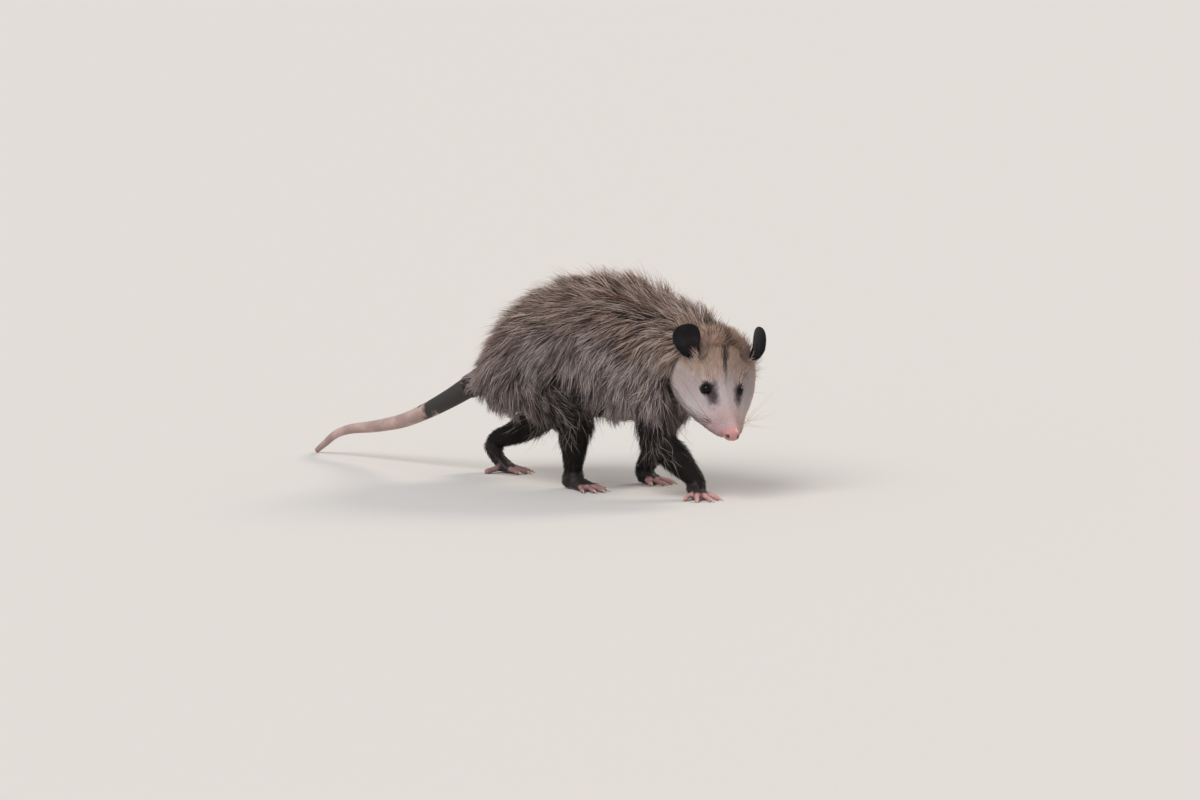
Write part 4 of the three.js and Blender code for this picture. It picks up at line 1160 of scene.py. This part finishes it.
def make_coat(skin, finish):
    """Short hair on the face and legs, combed tufts on the body, and long pale hairs over them."""
    rng = np.random.default_rng(SEED)
    open_skin = body_density(skin)
    on_head = skin.claims["head"]
    low_leg = sum(skin.claims[name] * step(0.4, 0.56, skin.places[name][3]) for name in LIMBS)
    upper_leg = 0
    for name in LIMBS:
        share = skin.places[name][3]
        upper_leg = upper_leg + skin.claims[name] * step(0.08, 0.2, share) * step(0.62, 0.5, share)
    back = skin.claims["trunk"] * step(0.5, 0.95, skin.places["trunk"][2])
    shaggy = open_skin * (1 - np.clip(on_head + low_leg, 0, 1)) * (1 + 0.5 * skin.claims["neck"])

    # Body: locks lead clumps, and clumps lead the tufts
    shares = np.array([0, 0.3, 0.65, 1])
    locks = skin.roots(shaggy, LOCKS, rng)
    lock_paths = locks.paths(shares, rng, 0.24, 0.25, 0.04, rng.uniform(0.6, 1.3, LOCKS))
    clumps = skin.roots(shaggy, CLUMPS, rng)
    clump_paths = clumps.paths(shares, rng, 0.2, 0.25, 0.03)
    clump_paths, lock = gather(clump_paths, clumps.at, lock_paths, locks.at, 0.64, shares)
    tone_of_lock, tone_of_clump = rng.uniform(size=LOCKS), rng.uniform(size=CLUMPS)
    tufts = skin.roots(shaggy, BODY_TUFTS, rng)
    paths = tufts.paths(shares, rng, 0.12, 0.3, 0.02)
    paths, clump = gather(paths, tufts.at, clump_paths, clumps.at, 0.78, shares)
    tone = 0.4 * tone_of_lock[lock[clump]] + 0.4 * tone_of_clump[clump] + 0.2 * rng.uniform(size=BODY_TUFTS)
    pale = (rng.uniform(size=BODY_TUFTS) < 0.06 + 0.6 * tone ** 2) * rng.uniform(0.3, 0.9, BODY_TUFTS)
    tufts.marks["dark"] = np.clip(tufts.marks["dark"] + 0.35 * step(0.38, 0.05, tone), 0, 1)
    add_coat("coat_body", tufts, paths, rng.uniform(0.55, 0.98, BODY_TUFTS), tone, pale, finish)

    # Long pale guard hairs, thicker along the back
    shares = np.array([0, 0.22, 0.48, 0.75, 1])
    guards = skin.roots(shaggy * (1 + 0.7 * back) * (1 - 0.7 * upper_leg), GUARD_HAIRS, rng)
    guards.long = guards.long * 1.15
    paths = guards.paths(shares, rng, 0.26, 0.3, 0.06, 1.3)
    leaders = locks.paths(shares, rng, 0.2, 0.2, 0.03, 1.2)
    paths, _ = gather(paths, guards.at, leaders, locks.at, 0.45, shares)
    widths = rng.uniform(0.34, 0.62, GUARD_HAIRS) * (1 + 0.35 * step(16, 28, guards.rise))
    add_coat("coat_guard", guards, paths, widths, rng.uniform(0.3, 1, GUARD_HAIRS),
             (rng.uniform(size=GUARD_HAIRS) < 0.8) * rng.uniform(0.6, 1, GUARD_HAIRS), finish)

    # Fine wisps that hang over the elbows and thighs
    wisps = skin.roots(open_skin * upper_leg, WISPS, rng)
    wisps.long, wisps.rise = wisps.long + 12, wisps.rise + 3
    wisps.marks["dark"] = wisps.marks["dark"] * 0.35
    paths = wisps.paths(shares, rng, 0.3, 0.4, 0.1, 1.2)
    add_coat("coat_wisps", wisps, paths, rng.uniform(0.32, 0.5, WISPS), rng.uniform(0.4, 0.9, WISPS),
             rng.uniform(0.4, 0.9, WISPS), finish)

    # Lower legs
    shares = np.array([0, 0.4, 0.75, 1])
    legs = skin.roots(open_skin * low_leg, LEG_TUFTS, rng)
    add_coat("coat_legs", legs, legs.paths(shares, rng, 0.22, 0.35, 0.03), rng.uniform(0.35, 0.65, LEG_TUFTS),
             rng.uniform(0.2, 0.8, LEG_TUFTS), (rng.uniform(size=LEG_TUFTS) < 0.02) * 0.6, finish)

    # Face
    shares = np.array([0, 0.5, 1])
    back_of_head = step(-30, -50, HEAD_FRAME.inside(skin.middle)[:, 0])
    hairs = skin.roots(open_skin * on_head * (1.25 - 0.45 * back_of_head), FACE_HAIRS, rng)
    leaders = skin.roots(open_skin * on_head, FACE_LEADERS, rng)
    paths, _ = gather(hairs.paths(shares, rng, 0.15, 0.3), hairs.at, leaders.paths(shares, rng, 0.16, 0.2),
                      leaders.at, 0.4, shares)
    pale = (rng.uniform(size=FACE_HAIRS) < 0.1) * 0.5 * (1 - 0.7 * hairs.marks["patch"])
    widths = rng.uniform(0.28, 0.46, FACE_HAIRS) * (1 + 0.5 * step(8, 14, hairs.long))
    add_coat("coat_face", hairs, paths, widths, rng.uniform(0.76, 1, FACE_HAIRS), pale, finish)

    # Pale tufts over the front of each ear's root, from the cheek round to the crown
    round_root = [EAR_ROOT + (9, 8, -6), EAR_ROOT + (10, 1, 0), EAR_ROOT + (4, -8, 6)]
    front = cord(beside_head(skin.middle).T, round_root, [0, 0, 0])
    tufts = skin.roots(open_skin * step(5.5, 3, front), EAR_TUFTS, rng)
    side = np.where(HEAD_FRAME.inside(tufts.at)[:, 1:2] > 0, 1, -1) * (0, 1, 0) + (1, 0, 1)
    tufts.lie = unit(HEAD_FRAME.turned_out((EAR_UP + (0, 0.25, 0)) * side))
    tufts.normal = HEAD_FRAME.turned_out(EAR_FACE * side)
    crownward = step(5, -6, beside_head(tufts.at)[:, 1] - EAR_ROOT[1])
    tufts.long = rng.uniform(0.6, 1, EAR_TUFTS) * (13 + 5 * crownward)
    tufts.rise = 0.65 * tufts.long
    tufts.marks = {key: 0 * value for key, value in tufts.marks.items()} | {
        "cream": np.full(EAR_TUFTS, 0.6), "grey": 0.5 + 0.4 * crownward,
    }
    add_coat("coat_ear_tufts", tufts, tufts.paths(shares, rng, 0.3, 0.3), rng.uniform(0.35, 0.6, EAR_TUFTS),
             rng.uniform(0.4, 0.9, EAR_TUFTS), rng.uniform(0, 0.6, EAR_TUFTS), finish, over_ears=True)


def add_coat(name, roots, paths, widths, tone, pale, finish, flat=None, over_ears=False):
    """Tufts on their roots, in one piece or more."""
    most = PIECE_TUFTS[paths.shape[1] - 1]
    paths[:, 0] = roots.at - roots.normal * ROOT_DEEP
    paths[..., 2] = np.maximum(paths[..., 2], FLOOR_GAP)
    flat = unwrapped(roots.claims, roots.places) if flat is None else flat
    kept = np.flatnonzero(clear_of_ears(paths) | over_ears)
    hair = np.stack([tone, pale], 1)
    for k, start in enumerate(range(0, len(kept), most)):
        part = kept[start:start + most]
        marks = {key: value[part] for key, value in roots.marks.items()}
        coat_mesh(f"{name}_{k + 1}", paths[part], roots.normal[part], widths[part], marks, hair[part],
                  flat[part], roots.long[part], finish)


# Finishes

DARK_HAIR, TAUPE, TAN, CREAM = srgb("221a19"), srgb("7e6d72"), srgb("8f6c59"), srgb("c6babb")
CROWN_HAIR, EYE_PATCH, PINK, PALE_HAIR = srgb("b59785"), srgb("42343f"), srgb("cb928f"), srgb("dccbc0")
# painted shade: the dark under-coat colour stands in for the shadow deep in the coat
# painted shade: the root colour of long hair stands in for the shadow inside the coat
HIDE_BLOTCH, PAINTED_SHADE_UNDER_COAT, PAINTED_ROOT_SHADE, HAIR_DEEP = srgb("5a4640"), srgb("2b2322"), srgb("1f1817"), srgb("6c6361")
WHITE = srgb("ffffff")


def marked_colour(finish):
    """The colour of the skin and of the hair on it at each place, from the markings."""
    dark, cream, warm = finish.parts("marks")
    pink, patch, grey = finish.parts("bare")
    base = finish.mix(warm * 0.9, TAUPE, TAN)
    base = finish.mix(cream, base, CREAM)
    base = finish.mix(grey * 0.95, base, CROWN_HAIR)
    base = finish.mix(pink, base, PINK)
    base = finish.mix(patch, base, EYE_PATCH)
    return finish.mix(dark, base, DARK_HAIR), dark, pink


def skin_finish():
    finish = Finish("hide")
    base, _, pink = marked_colour(finish)
    under, _, _ = finish.parts("under")
    place = finish.place()
    blotch = finish.noise(90, 3, place)
    base = finish.mix(blotch.clipped(0.35, 0.75) * 0.18, base, HIDE_BLOTCH)
    # painted shade on the skin under the coat
    base = finish.mix(under * 0.8, base, PAINTED_SHADE_UNDER_COAT)
    pores = finish.noise(1500, 2, place)
    fuzz = finish.noise(420, 3, place)
    height = pores * pink + fuzz * (1 - pink)
    return finish.surface(base, roughness=0.7, bump=finish.bump(height, 0.35, 0.0006), Specular_IOR_Level=0.15,
                          Coat_Weight=pink.clipped(0.6, 0.95) * 0.35, Coat_Roughness=0.3)


def hair_finish():
    finish = Finish("fur")
    base, dark, _ = marked_colour(finish)
    shade, tone, pale = finish.parts("hair")
    # painted shade: the hair turns dark towards its root
    colour = finish.mix(shade, finish.mix(0.8, base, PAINTED_ROOT_SHADE), base)
    colour = finish.mix(1.0, colour, finish.mix(tone, HAIR_DEEP, WHITE), "MULTIPLY")
    colour = finish.mix(pale * shade * (1 - dark * 0.75) * 0.8, colour, PALE_HAIR)
    return finish.surface(colour, roughness=0.6, Specular_IOR_Level=0.25)


def plain_finish(name, code, roughness, spots, grain, **fixed):
    """A colour with slow spots of another in it, and a fine grain."""
    finish = Finish(name)
    place = finish.place()
    base = finish.mix(finish.noise(160, 3, place).clipped(0.4, 0.7) * 0.6, srgb(code), srgb(spots))
    bump = finish.bump(finish.noise(grain, 3, place), 0.3, 0.0004)
    return finish.surface(base, roughness=roughness, bump=bump, **fixed)


# Ears

def ear_axes(side):
    """The ways that an ear's length, its hollow and its width point, in the head's frame."""
    mirror = np.array([1, side, 1])
    up = unit(EAR_UP * mirror)
    face = unit(across(EAR_FACE * mirror, up))
    return up, face, np.cross(up, face)


def ear_mesh(name, node, side, finish):
    """A thin cupped leaf from its root on the skull to its round rim."""
    mirror = np.array([1, side, 1])
    up, face, sideways = ear_axes(side)
    rows, columns = 34, 30
    v = 1 - (1 - np.linspace(0, 1, rows + 1)) ** 1.5
    v, w = np.meshgrid(v, np.linspace(-1, 1, columns + 1), indexing="ij")
    crown = (1 - (np.maximum(v - EAR_WIDEST, 0) / (1.002 - EAR_WIDEST)) ** 2.3) ** 0.43
    root_wide = EAR_STEM + (1 - EAR_STEM) * np.sin(np.pi * v / (2 * EAR_WIDEST)) ** 0.75
    wide = EAR_WIDE * np.where(v < EAR_WIDEST, root_wide, crown)
    line = EAR_MIDDLE * mirror + up * (EAR_LONG * (2 * v - 1))[..., None] - face * (EAR_CUP * (1 - v * v))[..., None]
    root = EAR_ROOT * mirror - up * 3
    line = line + (root - line) * ((1 - np.minimum(1, v / 0.35)) ** 1.4)[..., None]
    edge = np.maximum(np.abs(w), v) ** 6
    uneven = 1 + 0.03 * np.sin(5 * v + 2 * w) * edge
    middle = (line + sideways * (wide * w * uneven * (1 - 0.12 * w * w * (1 - v)))[..., None]
              - up * (4 * w * w * v * (1 - v))[..., None]
              + face * (EAR_CUP * (w * np.where(v < EAR_WIDEST, 1, crown)) ** 2 * (1.25 - v))[..., None])
    thick = 0.35 + 1.1 * (1 - v) ** 2 * (1 - 0.5 * w * w) + 0.25 * np.exp(-((np.abs(w) - 0.9) / 0.08) ** 2)
    fold = 1.6 * np.exp(-((w * side - 0.3) / 0.16) ** 2 - ((v - 0.1) / 0.3) ** 2)
    fold += 0.9 * np.exp(-((w * side + 0.35) / 0.12) ** 2 - ((v - 0.2) / 0.22) ** 2)
    ribs = 0.16 * np.sin(9 * w + 3 * v) * v * (1 - v)
    thin = np.sqrt(np.maximum(1 - edge ** 2, 0.02))
    front = middle + face * ((fold + ribs) * thin + 0.5 * thick * thin)[..., None]
    back = middle + face * (ribs * thin - 0.5 * thick * thin)[..., None]
    points = np.concatenate([front.reshape(-1, 3), back.reshape(-1, 3)])
    row, half = columns + 1, (columns + 1) * (rows + 1)
    r, c = np.meshgrid(np.arange(rows), np.arange(columns), indexing="ij")
    a = (r * row + c).ravel()
    quads = [np.stack([a, a + 1, a + row + 1, a + row], 1), half + np.stack([a, a + row, a + row + 1, a + 1], 1)]
    up_one_side, over = np.arange(rows + 1) * row, rows * row + np.arange(1, row)
    down_the_other = (rows + 1) * row - 1 - np.arange(1, rows + 1) * row
    top = np.concatenate([up_one_side, over, down_the_other, np.arange(columns - 1, 0, -1)])
    after = np.roll(top, -1)
    quads.append(np.stack([top, after, half + after, half + top], 1))
    quads = np.concatenate(quads)
    if side < 0:
        quads = quads[:, ::-1]
    mesh = mesh_of(name, HEAD_FRAME.outside(points), quads)
    inner = np.exp(-((v - 0.26) / 0.2) ** 2 - ((w * side + 0.4) / 0.35) ** 2).ravel()
    inner = np.concatenate([inner, 0 * inner])
    colour_attribute(mesh, "leaf", [inner, 0 * inner, 0 * inner])
    piece = show(name, mesh, finish)
    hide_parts(node)


def ear_finish():
    finish = Finish("ear_leather")
    inner, _, _ = finish.parts("leaf")
    place = finish.place()
    # lighter purplish blotches in the black leather: uneven colour, tinted to stand in for its sheen, a painted sheen
    base = finish.mix(finish.noise(110, 3, place).clipped(0.4, 0.7) * 0.7, srgb("070506"), srgb("1a1216"))
    base = finish.mix(inner * finish.noise(130, 2, place).clipped(0.42, 0.62) * 0.8, base, srgb("4a2c27"))
    bump = finish.bump(finish.noise(700, 4, place), 0.25, 0.0006)
    return finish.surface(base, roughness=0.5, bump=bump, Specular_IOR_Level=0.2)


# Eyes

CORNEA_SWELL, CORNEA_SPREAD = 0.045, 0.6


def eye_mesh(name, node, side, finish):
    sides, rings = 40, 26
    turn, fall = np.meshgrid(2 * np.pi * np.arange(sides) / sides, np.pi * (np.arange(rings) + 0.5) / rings)
    look = unit(EYE_LOOK * (1, side, 1))
    first = unit(np.cross(look, (0, 0, 1)))
    second = np.cross(look, first)
    ball_points = (np.cos(fall)[..., None] * look + (np.sin(fall) * np.cos(turn))[..., None] * first
                   + (np.sin(fall) * np.sin(turn))[..., None] * second)
    swell = 1 + CORNEA_SWELL * np.exp(-(fall / CORNEA_SPREAD) ** 2)
    points, quads, ends = loft(ball_points * swell[..., None] * EYE_RADIUS + EYE_AT * (1, side, 1))
    mesh = mesh_of(name, HEAD_FRAME.outside(points), quads[:, ::-1], ends[:, ::-1])
    front = np.concatenate([np.cos(fall).ravel(), [1, -1]])
    colour_attribute(mesh, "eye", [front.clip(0, 1), 0 * front, 0 * front])
    piece = show(name, mesh, finish)
    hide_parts(node)


# How wide the lids are open, how much further at the corner, how far they are from the eye's middle, half thickness
LID_OPEN, LID_CORNER, LID_FAR, LID_THICK = math.radians(67), math.radians(9), 5.45, 0.72


def make_lids(finish):
    """The upper and lower lid of each eye, a soft ring on the eyeball with a corner towards the nose."""
    sides, count = 12, 72
    turn, round_it = 2 * np.pi * np.arange(count) / count, 2 * np.pi * np.arange(sides) / sides
    i, k = np.meshgrid(np.arange(count), np.arange(sides), indexing="ij")
    after, beside = (i + 1) % count * sides, (k + 1) % sides
    quads = np.stack([i * sides + k, after + k, after + beside, i * sides + beside], -1).reshape(-1, 4)
    rings = []
    for side in (1, -1):
        look = unit(EYE_LOOK * (1, side, 1))
        nose = unit(across(np.array([1, -0.3 * side, -0.3]), look))
        other = np.cross(look, nose)
        fall = LID_OPEN + LID_CORNER * np.maximum(np.cos(turn), 0) ** 8
        way = (np.cos(fall)[:, None] * look + (np.sin(fall) * np.cos(turn))[:, None] * nose
               + (np.sin(fall) * np.sin(turn))[:, None] * other)
        along = unit(np.roll(way, -1, axis=0) - np.roll(way, 1, axis=0))
        level = np.cross(along, way)
        ring = (np.cos(round_it)[:, None] * way[:, None] + np.sin(round_it)[:, None] * level[:, None]) * LID_THICK
        rings.append(((EYE_AT * (1, side, 1) + way[:, None] * LID_FAR + ring).reshape(-1, 3), quads))
    points, quads = joined(rings)
    show("lids", mesh_of("lids", HEAD_FRAME.outside(points), quads), finish)


def eye_finish():
    finish = Finish("eye_glass")
    front, _, _ = finish.parts("eye")
    base = finish.mix(front.clipped(0.5, 0.75), srgb("0e0908"), srgb("020202"))
    return finish.surface(base, roughness=0.13, Specular_IOR_Level=0.2)


# Paws and claws

def make_paws(finish, horn, fur):
    surfaces = [paw_skin(name) for name in PAWS]
    points, quads = joined(surfaces)
    mesh = mesh_of("paws", points, quads)
    pink = np.concatenate([toe_mask(name, skin) for name, (skin, _) in zip(PAWS, surfaces)])
    # which paws are hind ones, whose toes get painted shade in their finish
    hind = np.concatenate([np.full(len(skin), name.startswith("hind")) for name, (skin, _) in zip(PAWS, surfaces)])
    colour_attribute(mesh, "paw", [pink, hind, 0 * pink])
    paws = show("paws", mesh, finish)
    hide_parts(*PAWS)
    paw_hair(points, quads, pink, fur)
    claws = joined([loft(claw_rings(name, toe)) for name in PAWS for toe in PAWS[name][2] if toe[5]])
    show("claws", mesh_of("claws", *claws), horn)


def paw_hair(points, quads, bare, finish):
    """Short dark hair from the wrists to the roots of the toes."""
    rng = np.random.default_rng(SEED + 2)
    normals, area = corner_normals(points, quads)
    density = (1 - bare[quads].mean(1)) ** 2 * step(2.5, 5, points[quads].mean(1)[:, 2])
    roots = Roots((points, normals, quads, area), density, PAW_HAIRS, rng)
    spots = np.array([PAWS[name][3] for name in PAWS])
    paw = np.linalg.norm(roots.at[:, None, :2] - spots, axis=2).argmin(1)
    frames = [paw_frame(name) for name in PAWS]
    ways = np.array([one.axes[0] for one in frames])[paw]
    roots.lie = unit(across(ways + (0, 0, -0.9), roots.normal))
    high = step(8, 26, roots.at[:, 2])
    roots.long, roots.rise = 4.2 + 3.8 * high, 0.8 + 0.9 * high
    roots.marks = {key: 0 * value for key, value in roots.marks.items()} | {"dark": np.full(PAW_HAIRS, 0.95)}
    # an unwrap of its own: round each wrist, and from it down and outwards to the toes
    inside = np.array([frames[k].inside(at) for k, at in zip(paw, roots.at)])
    round_it = np.arctan2(inside[:, 1], inside[:, 0]) / (2 * np.pi)
    down = (46 - inside[:, 2] + np.hypot(inside[:, 0], inside[:, 1])) / 95
    flat = np.stack([(paw + 0.5 + 0.94 * round_it) / len(spots), down], 1)
    add_coat("coat_paws", roots, roots.paths([0, 0.5, 1], rng, 0.25, 0.35), rng.uniform(0.3, 0.5, PAW_HAIRS),
             rng.uniform(0, 1, PAW_HAIRS), np.zeros(PAW_HAIRS), finish, flat=flat)


def toe_mask(name, points):
    """1 on the naked pink toes, 0 on the dark back of the foot."""
    inside = paw_frame(name).inside(points)
    mask = np.zeros(len(points))
    for toe in PAWS[name][2]:
        line, radii, ahead = toe_line(toe, PAWS[name][5])
        off = inside - line[0]
        along = (off * ahead).sum(1)
        near = np.linalg.norm(off - along[:, None] * ahead - (0, 0, 0.5), axis=1)
        long = np.linalg.norm(line[-1] - line[0])
        mask = np.maximum(mask, step(0.2 * long, 0.62 * long, along) * step(7, 4.5, near))
    return np.maximum(mask, step(3, 1.2, inside[:, 2]))


def claw_rings(name, toe):
    """A curved horn from the end of a toe, with its point near the floor."""
    _, x, y, long, _, _ = toe
    side = PAWS[name][5]
    _, _, ahead = toe_line(toe, side)
    tip = np.array([x, -y * side, TOE_ROOT - TOE_PRESS - CLAW_LOW]) + ahead * long
    table = smooth_rows(CLAW, np.linspace(0, 1, 9))
    at = tip + ahead * table[:, :1] + np.array([0, 0, 1]) * table[:, 1:2]
    way = unit(np.gradient(at, axis=0))
    left = unit(np.cross((0, 0, 1), ahead))
    up = np.cross(way, left)
    angle = 2 * np.pi * np.arange(10) / 10
    radius = table[:, 2, None, None]
    rings = at[:, None] + radius * (0.8 * np.cos(angle)[:, None] * left + 1.1 * np.sin(angle)[:, None] * up[:, None])
    rings[..., 2] = np.maximum(rings[..., 2], 0.1)
    return paw_frame(name).outside(rings.reshape(-1, 3)).reshape(rings.shape)


def paw_finish():
    finish = Finish("paw_leather")
    pink, hind, _ = finish.parts("paw")
    place = finish.place()
    uneven = finish.noise(260, 3, place)
    rose = finish.mix(uneven.clipped(0.35, 0.7) * 0.7, srgb("c49591"), srgb("9c7175"))
    # painted shade: the hind toes are made duller and darker than the fore toes
    rose = finish.mix(hind * 0.6, rose, srgb("6f5557"))
    base = finish.mix((pink + (uneven - 0.5) * 0.7).clipped(0.2, 0.85), srgb("2c2324"), rose)
    bump = finish.bump(finish.noise(900, 3, place), 0.5, 0.0007)
    return finish.surface(base, roughness=0.52, bump=bump)


# Tail

SCALE_RING, SCALES_ROUND = 1.7, 26
TAIL_RINGS = 260


def make_tail(finish):
    tube = round_tube(TAIL, TAIL_DEPTH, TAIL_RINGS)
    sides = 32
    points, quads, ends = loft(tube.rings(sides))
    points[:, 2] = np.maximum(points[:, 2], 0.05)
    mesh = mesh_of("tail_scales", points, quads, ends)
    share = np.repeat(tube.far / tube.far[-1], sides)
    share = np.concatenate([share, [0, 1]])
    colour_attribute(mesh, "tail", [share, 0 * share, 0 * share])
    layer = mesh.uv_layers.new(name="scales")
    r, k = np.meshgrid(np.arange(len(tube.at) - 1), np.arange(sides), indexing="ij")
    u = np.stack([tube.far[r], tube.far[r], tube.far[r + 1], tube.far[r + 1]], -1) / SCALE_RING
    v = np.stack([k, k + 1, k + 1, k], -1) / sides * SCALES_ROUND
    flat = np.concatenate([np.stack([u, v], -1).reshape(-1, 2), np.zeros((len(ends) * 3, 2))])
    layer.data.foreach_set("uv", flat.astype(np.float32).ravel())
    piece = show("tail_scales", mesh, finish)
    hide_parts("tail_root", "tail_upper", "tail_middle", "tail_tip")


def tail_finish():
    finish = Finish("tail_scales")
    share, _, _ = finish.parts("tail")
    place = finish.place()
    flat = finish.node("ShaderNodeSeparateXYZ", {}, {"Vector": finish.node("ShaderNodeUVMap", {"uv_map": "scales"})})
    u, v = flat.out("X"), flat.out("Y")
    ring, scale = u.through("FRACT"), (v + u.through("FLOOR") * 0.5).through("FRACT")
    ring_dome = 1 - (ring * 2 - 1).through("ABSOLUTE") ** 3
    scale_dome = 1 - (scale * 2 - 1).through("ABSOLUTE") ** 4
    dome = ring_dome * (0.55 + scale_dome * 0.45)
    mottle = finish.noise(60, 4, place)
    pale = (share + (mottle - 0.5) * 0.35).clipped(0.36, 0.42)
    light = finish.mix(finish.noise(45, 3, place).clipped(0.4, 0.65) * 0.7, srgb("c3a79f"), srgb("9a7f7c"))
    base = finish.mix(pale, srgb("2a2624"), light)
    base = finish.mix((1 - dome) * 0.28, base, srgb("241c1a"))
    return finish.surface(base, roughness=0.6, bump=finish.bump(dome, 0.5, 0.0005))


# Whiskers

# The beds of whiskers: distance ahead, height, way (ahead, outward, up), length, how many on the right and the left
WHISKER_BEDS = [
    (38, -11, (-0.4, 1, -0.05), 52, 5, 6), (33, -14, (-0.6, 1, -0.25), 60, 6, 6),
    (28, -17, (-0.75, 0.9, -0.4), 48, 4, 4), (-14, -22, (-0.7, 0.7, -0.25), 38, 4, 2),
]
WHISKER_SPREAD, BROW_WHISKERS, BROW_LONG = 0.26, 2, 24
WHISKER_SWEEP, WHISKER_DROOP = 0.22, (0.02, 0.22)  # how far its end bends back and down, for its length
WHISKER_TAPER, WHISKER_TIP = 0.15, 0.05


def make_whiskers(dark, light):
    """Long dark whiskers on the right side and pale ones on the left, and a few over each eye."""
    rng = np.random.default_rng(SEED + 1)
    near, far = [], []
    for x, z, way, long, *counts in WHISKER_BEDS:
        for side, count in zip((-1, 1), counts):
            for _ in range(count):
                root = on_face(x + rng.uniform(-7, 7), z + rng.uniform(-4, 4)) * (1, side, 1)
                swept = (-0.5, 0, 0.25) if side < 0 and rng.uniform() < 0.6 else (0, 0, 0)
                start = unit(np.array(way) * (1, side, 1) + swept + rng.normal(0, WHISKER_SPREAD, 3))
                line = whisker_line(root, start, long * rng.uniform(0.6, 1.1), rng)
                (near if side < 0 else far).append(line)
    for side in (-1, 1):
        for _ in range(BROW_WHISKERS):
            root = EYE_AT * (1, side, 1) + np.array([-6 + rng.uniform(-3, 2), side * rng.uniform(-3, 3), 8])
            start = unit(np.array([-0.5, 0.5 * side, 0.9]) + rng.normal(0, 0.15, 3))
            near.append(whisker_line(root, start, BROW_LONG * rng.uniform(0.6, 1.1), rng))
    for name, lines, finish in (("whiskers_dark", near, dark), ("whiskers_pale", far, light)):
        points, quads, ends = joined([loft(rings) for rings in lines])
        show(name, mesh_of(name, HEAD_FRAME.outside(points), quads, ends), finish)


def whisker_line(root, way, long, rng):
    t = np.linspace(0, 1, 9)[:, None]
    back = np.array([-1.0, 0, 0])
    fall = HEAD_FRAME.axes @ np.array([0, 0, -1.0])
    line = root + way * long * t + (back * WHISKER_SWEEP + fall * rng.uniform(*WHISKER_DROOP)) * long * t ** 2
    ahead = unit(np.gradient(line, axis=0))
    first = unit(np.cross(ahead, (0, 0, 1.0)))
    second = np.cross(ahead, first)
    angle = 2 * np.pi * np.arange(4) / 4
    radius = (WHISKER_TAPER * (1 - t) + WHISKER_TIP)[..., None]
    return line[:, None] + radius * (np.cos(angle)[:, None] * first[:, None] + np.sin(angle)[:, None] * second[:, None])


# Putting the animal together

make_camera()
make_room()
skin = Skin(body_skin(), head_skin())
hide = skin.mesh("skin", skin_finish(), "coat")
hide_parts("torso", "neck", "head", "nose", *LIMBS)
fur = hair_finish()
make_coat(skin, fur)
make_paws(paw_finish(), plain_finish("claw_horn", "cdb9a6", 0.35, "8d7768", 800), fur)
make_tail(tail_finish())
ears, glass = ear_finish(), eye_finish()
for name, side in (("left", 1), ("right", -1)):
    ear_mesh(f"ear_leaf_{name}", f"ear_{name}", side, ears)
    eye_mesh(f"eyeball_{name}", f"eye_{name}", side, glass)
make_lids(plain_finish("lid_skin", "191214", 0.5, "241b1e", 900, Specular_IOR_Level=0.15))
make_whiskers(plain_finish("whisker_dark", "483a35", 0.5, "352b29", 500),
              plain_finish("whisker_pale", "d8c8b0", 0.4, "bfae98", 500))
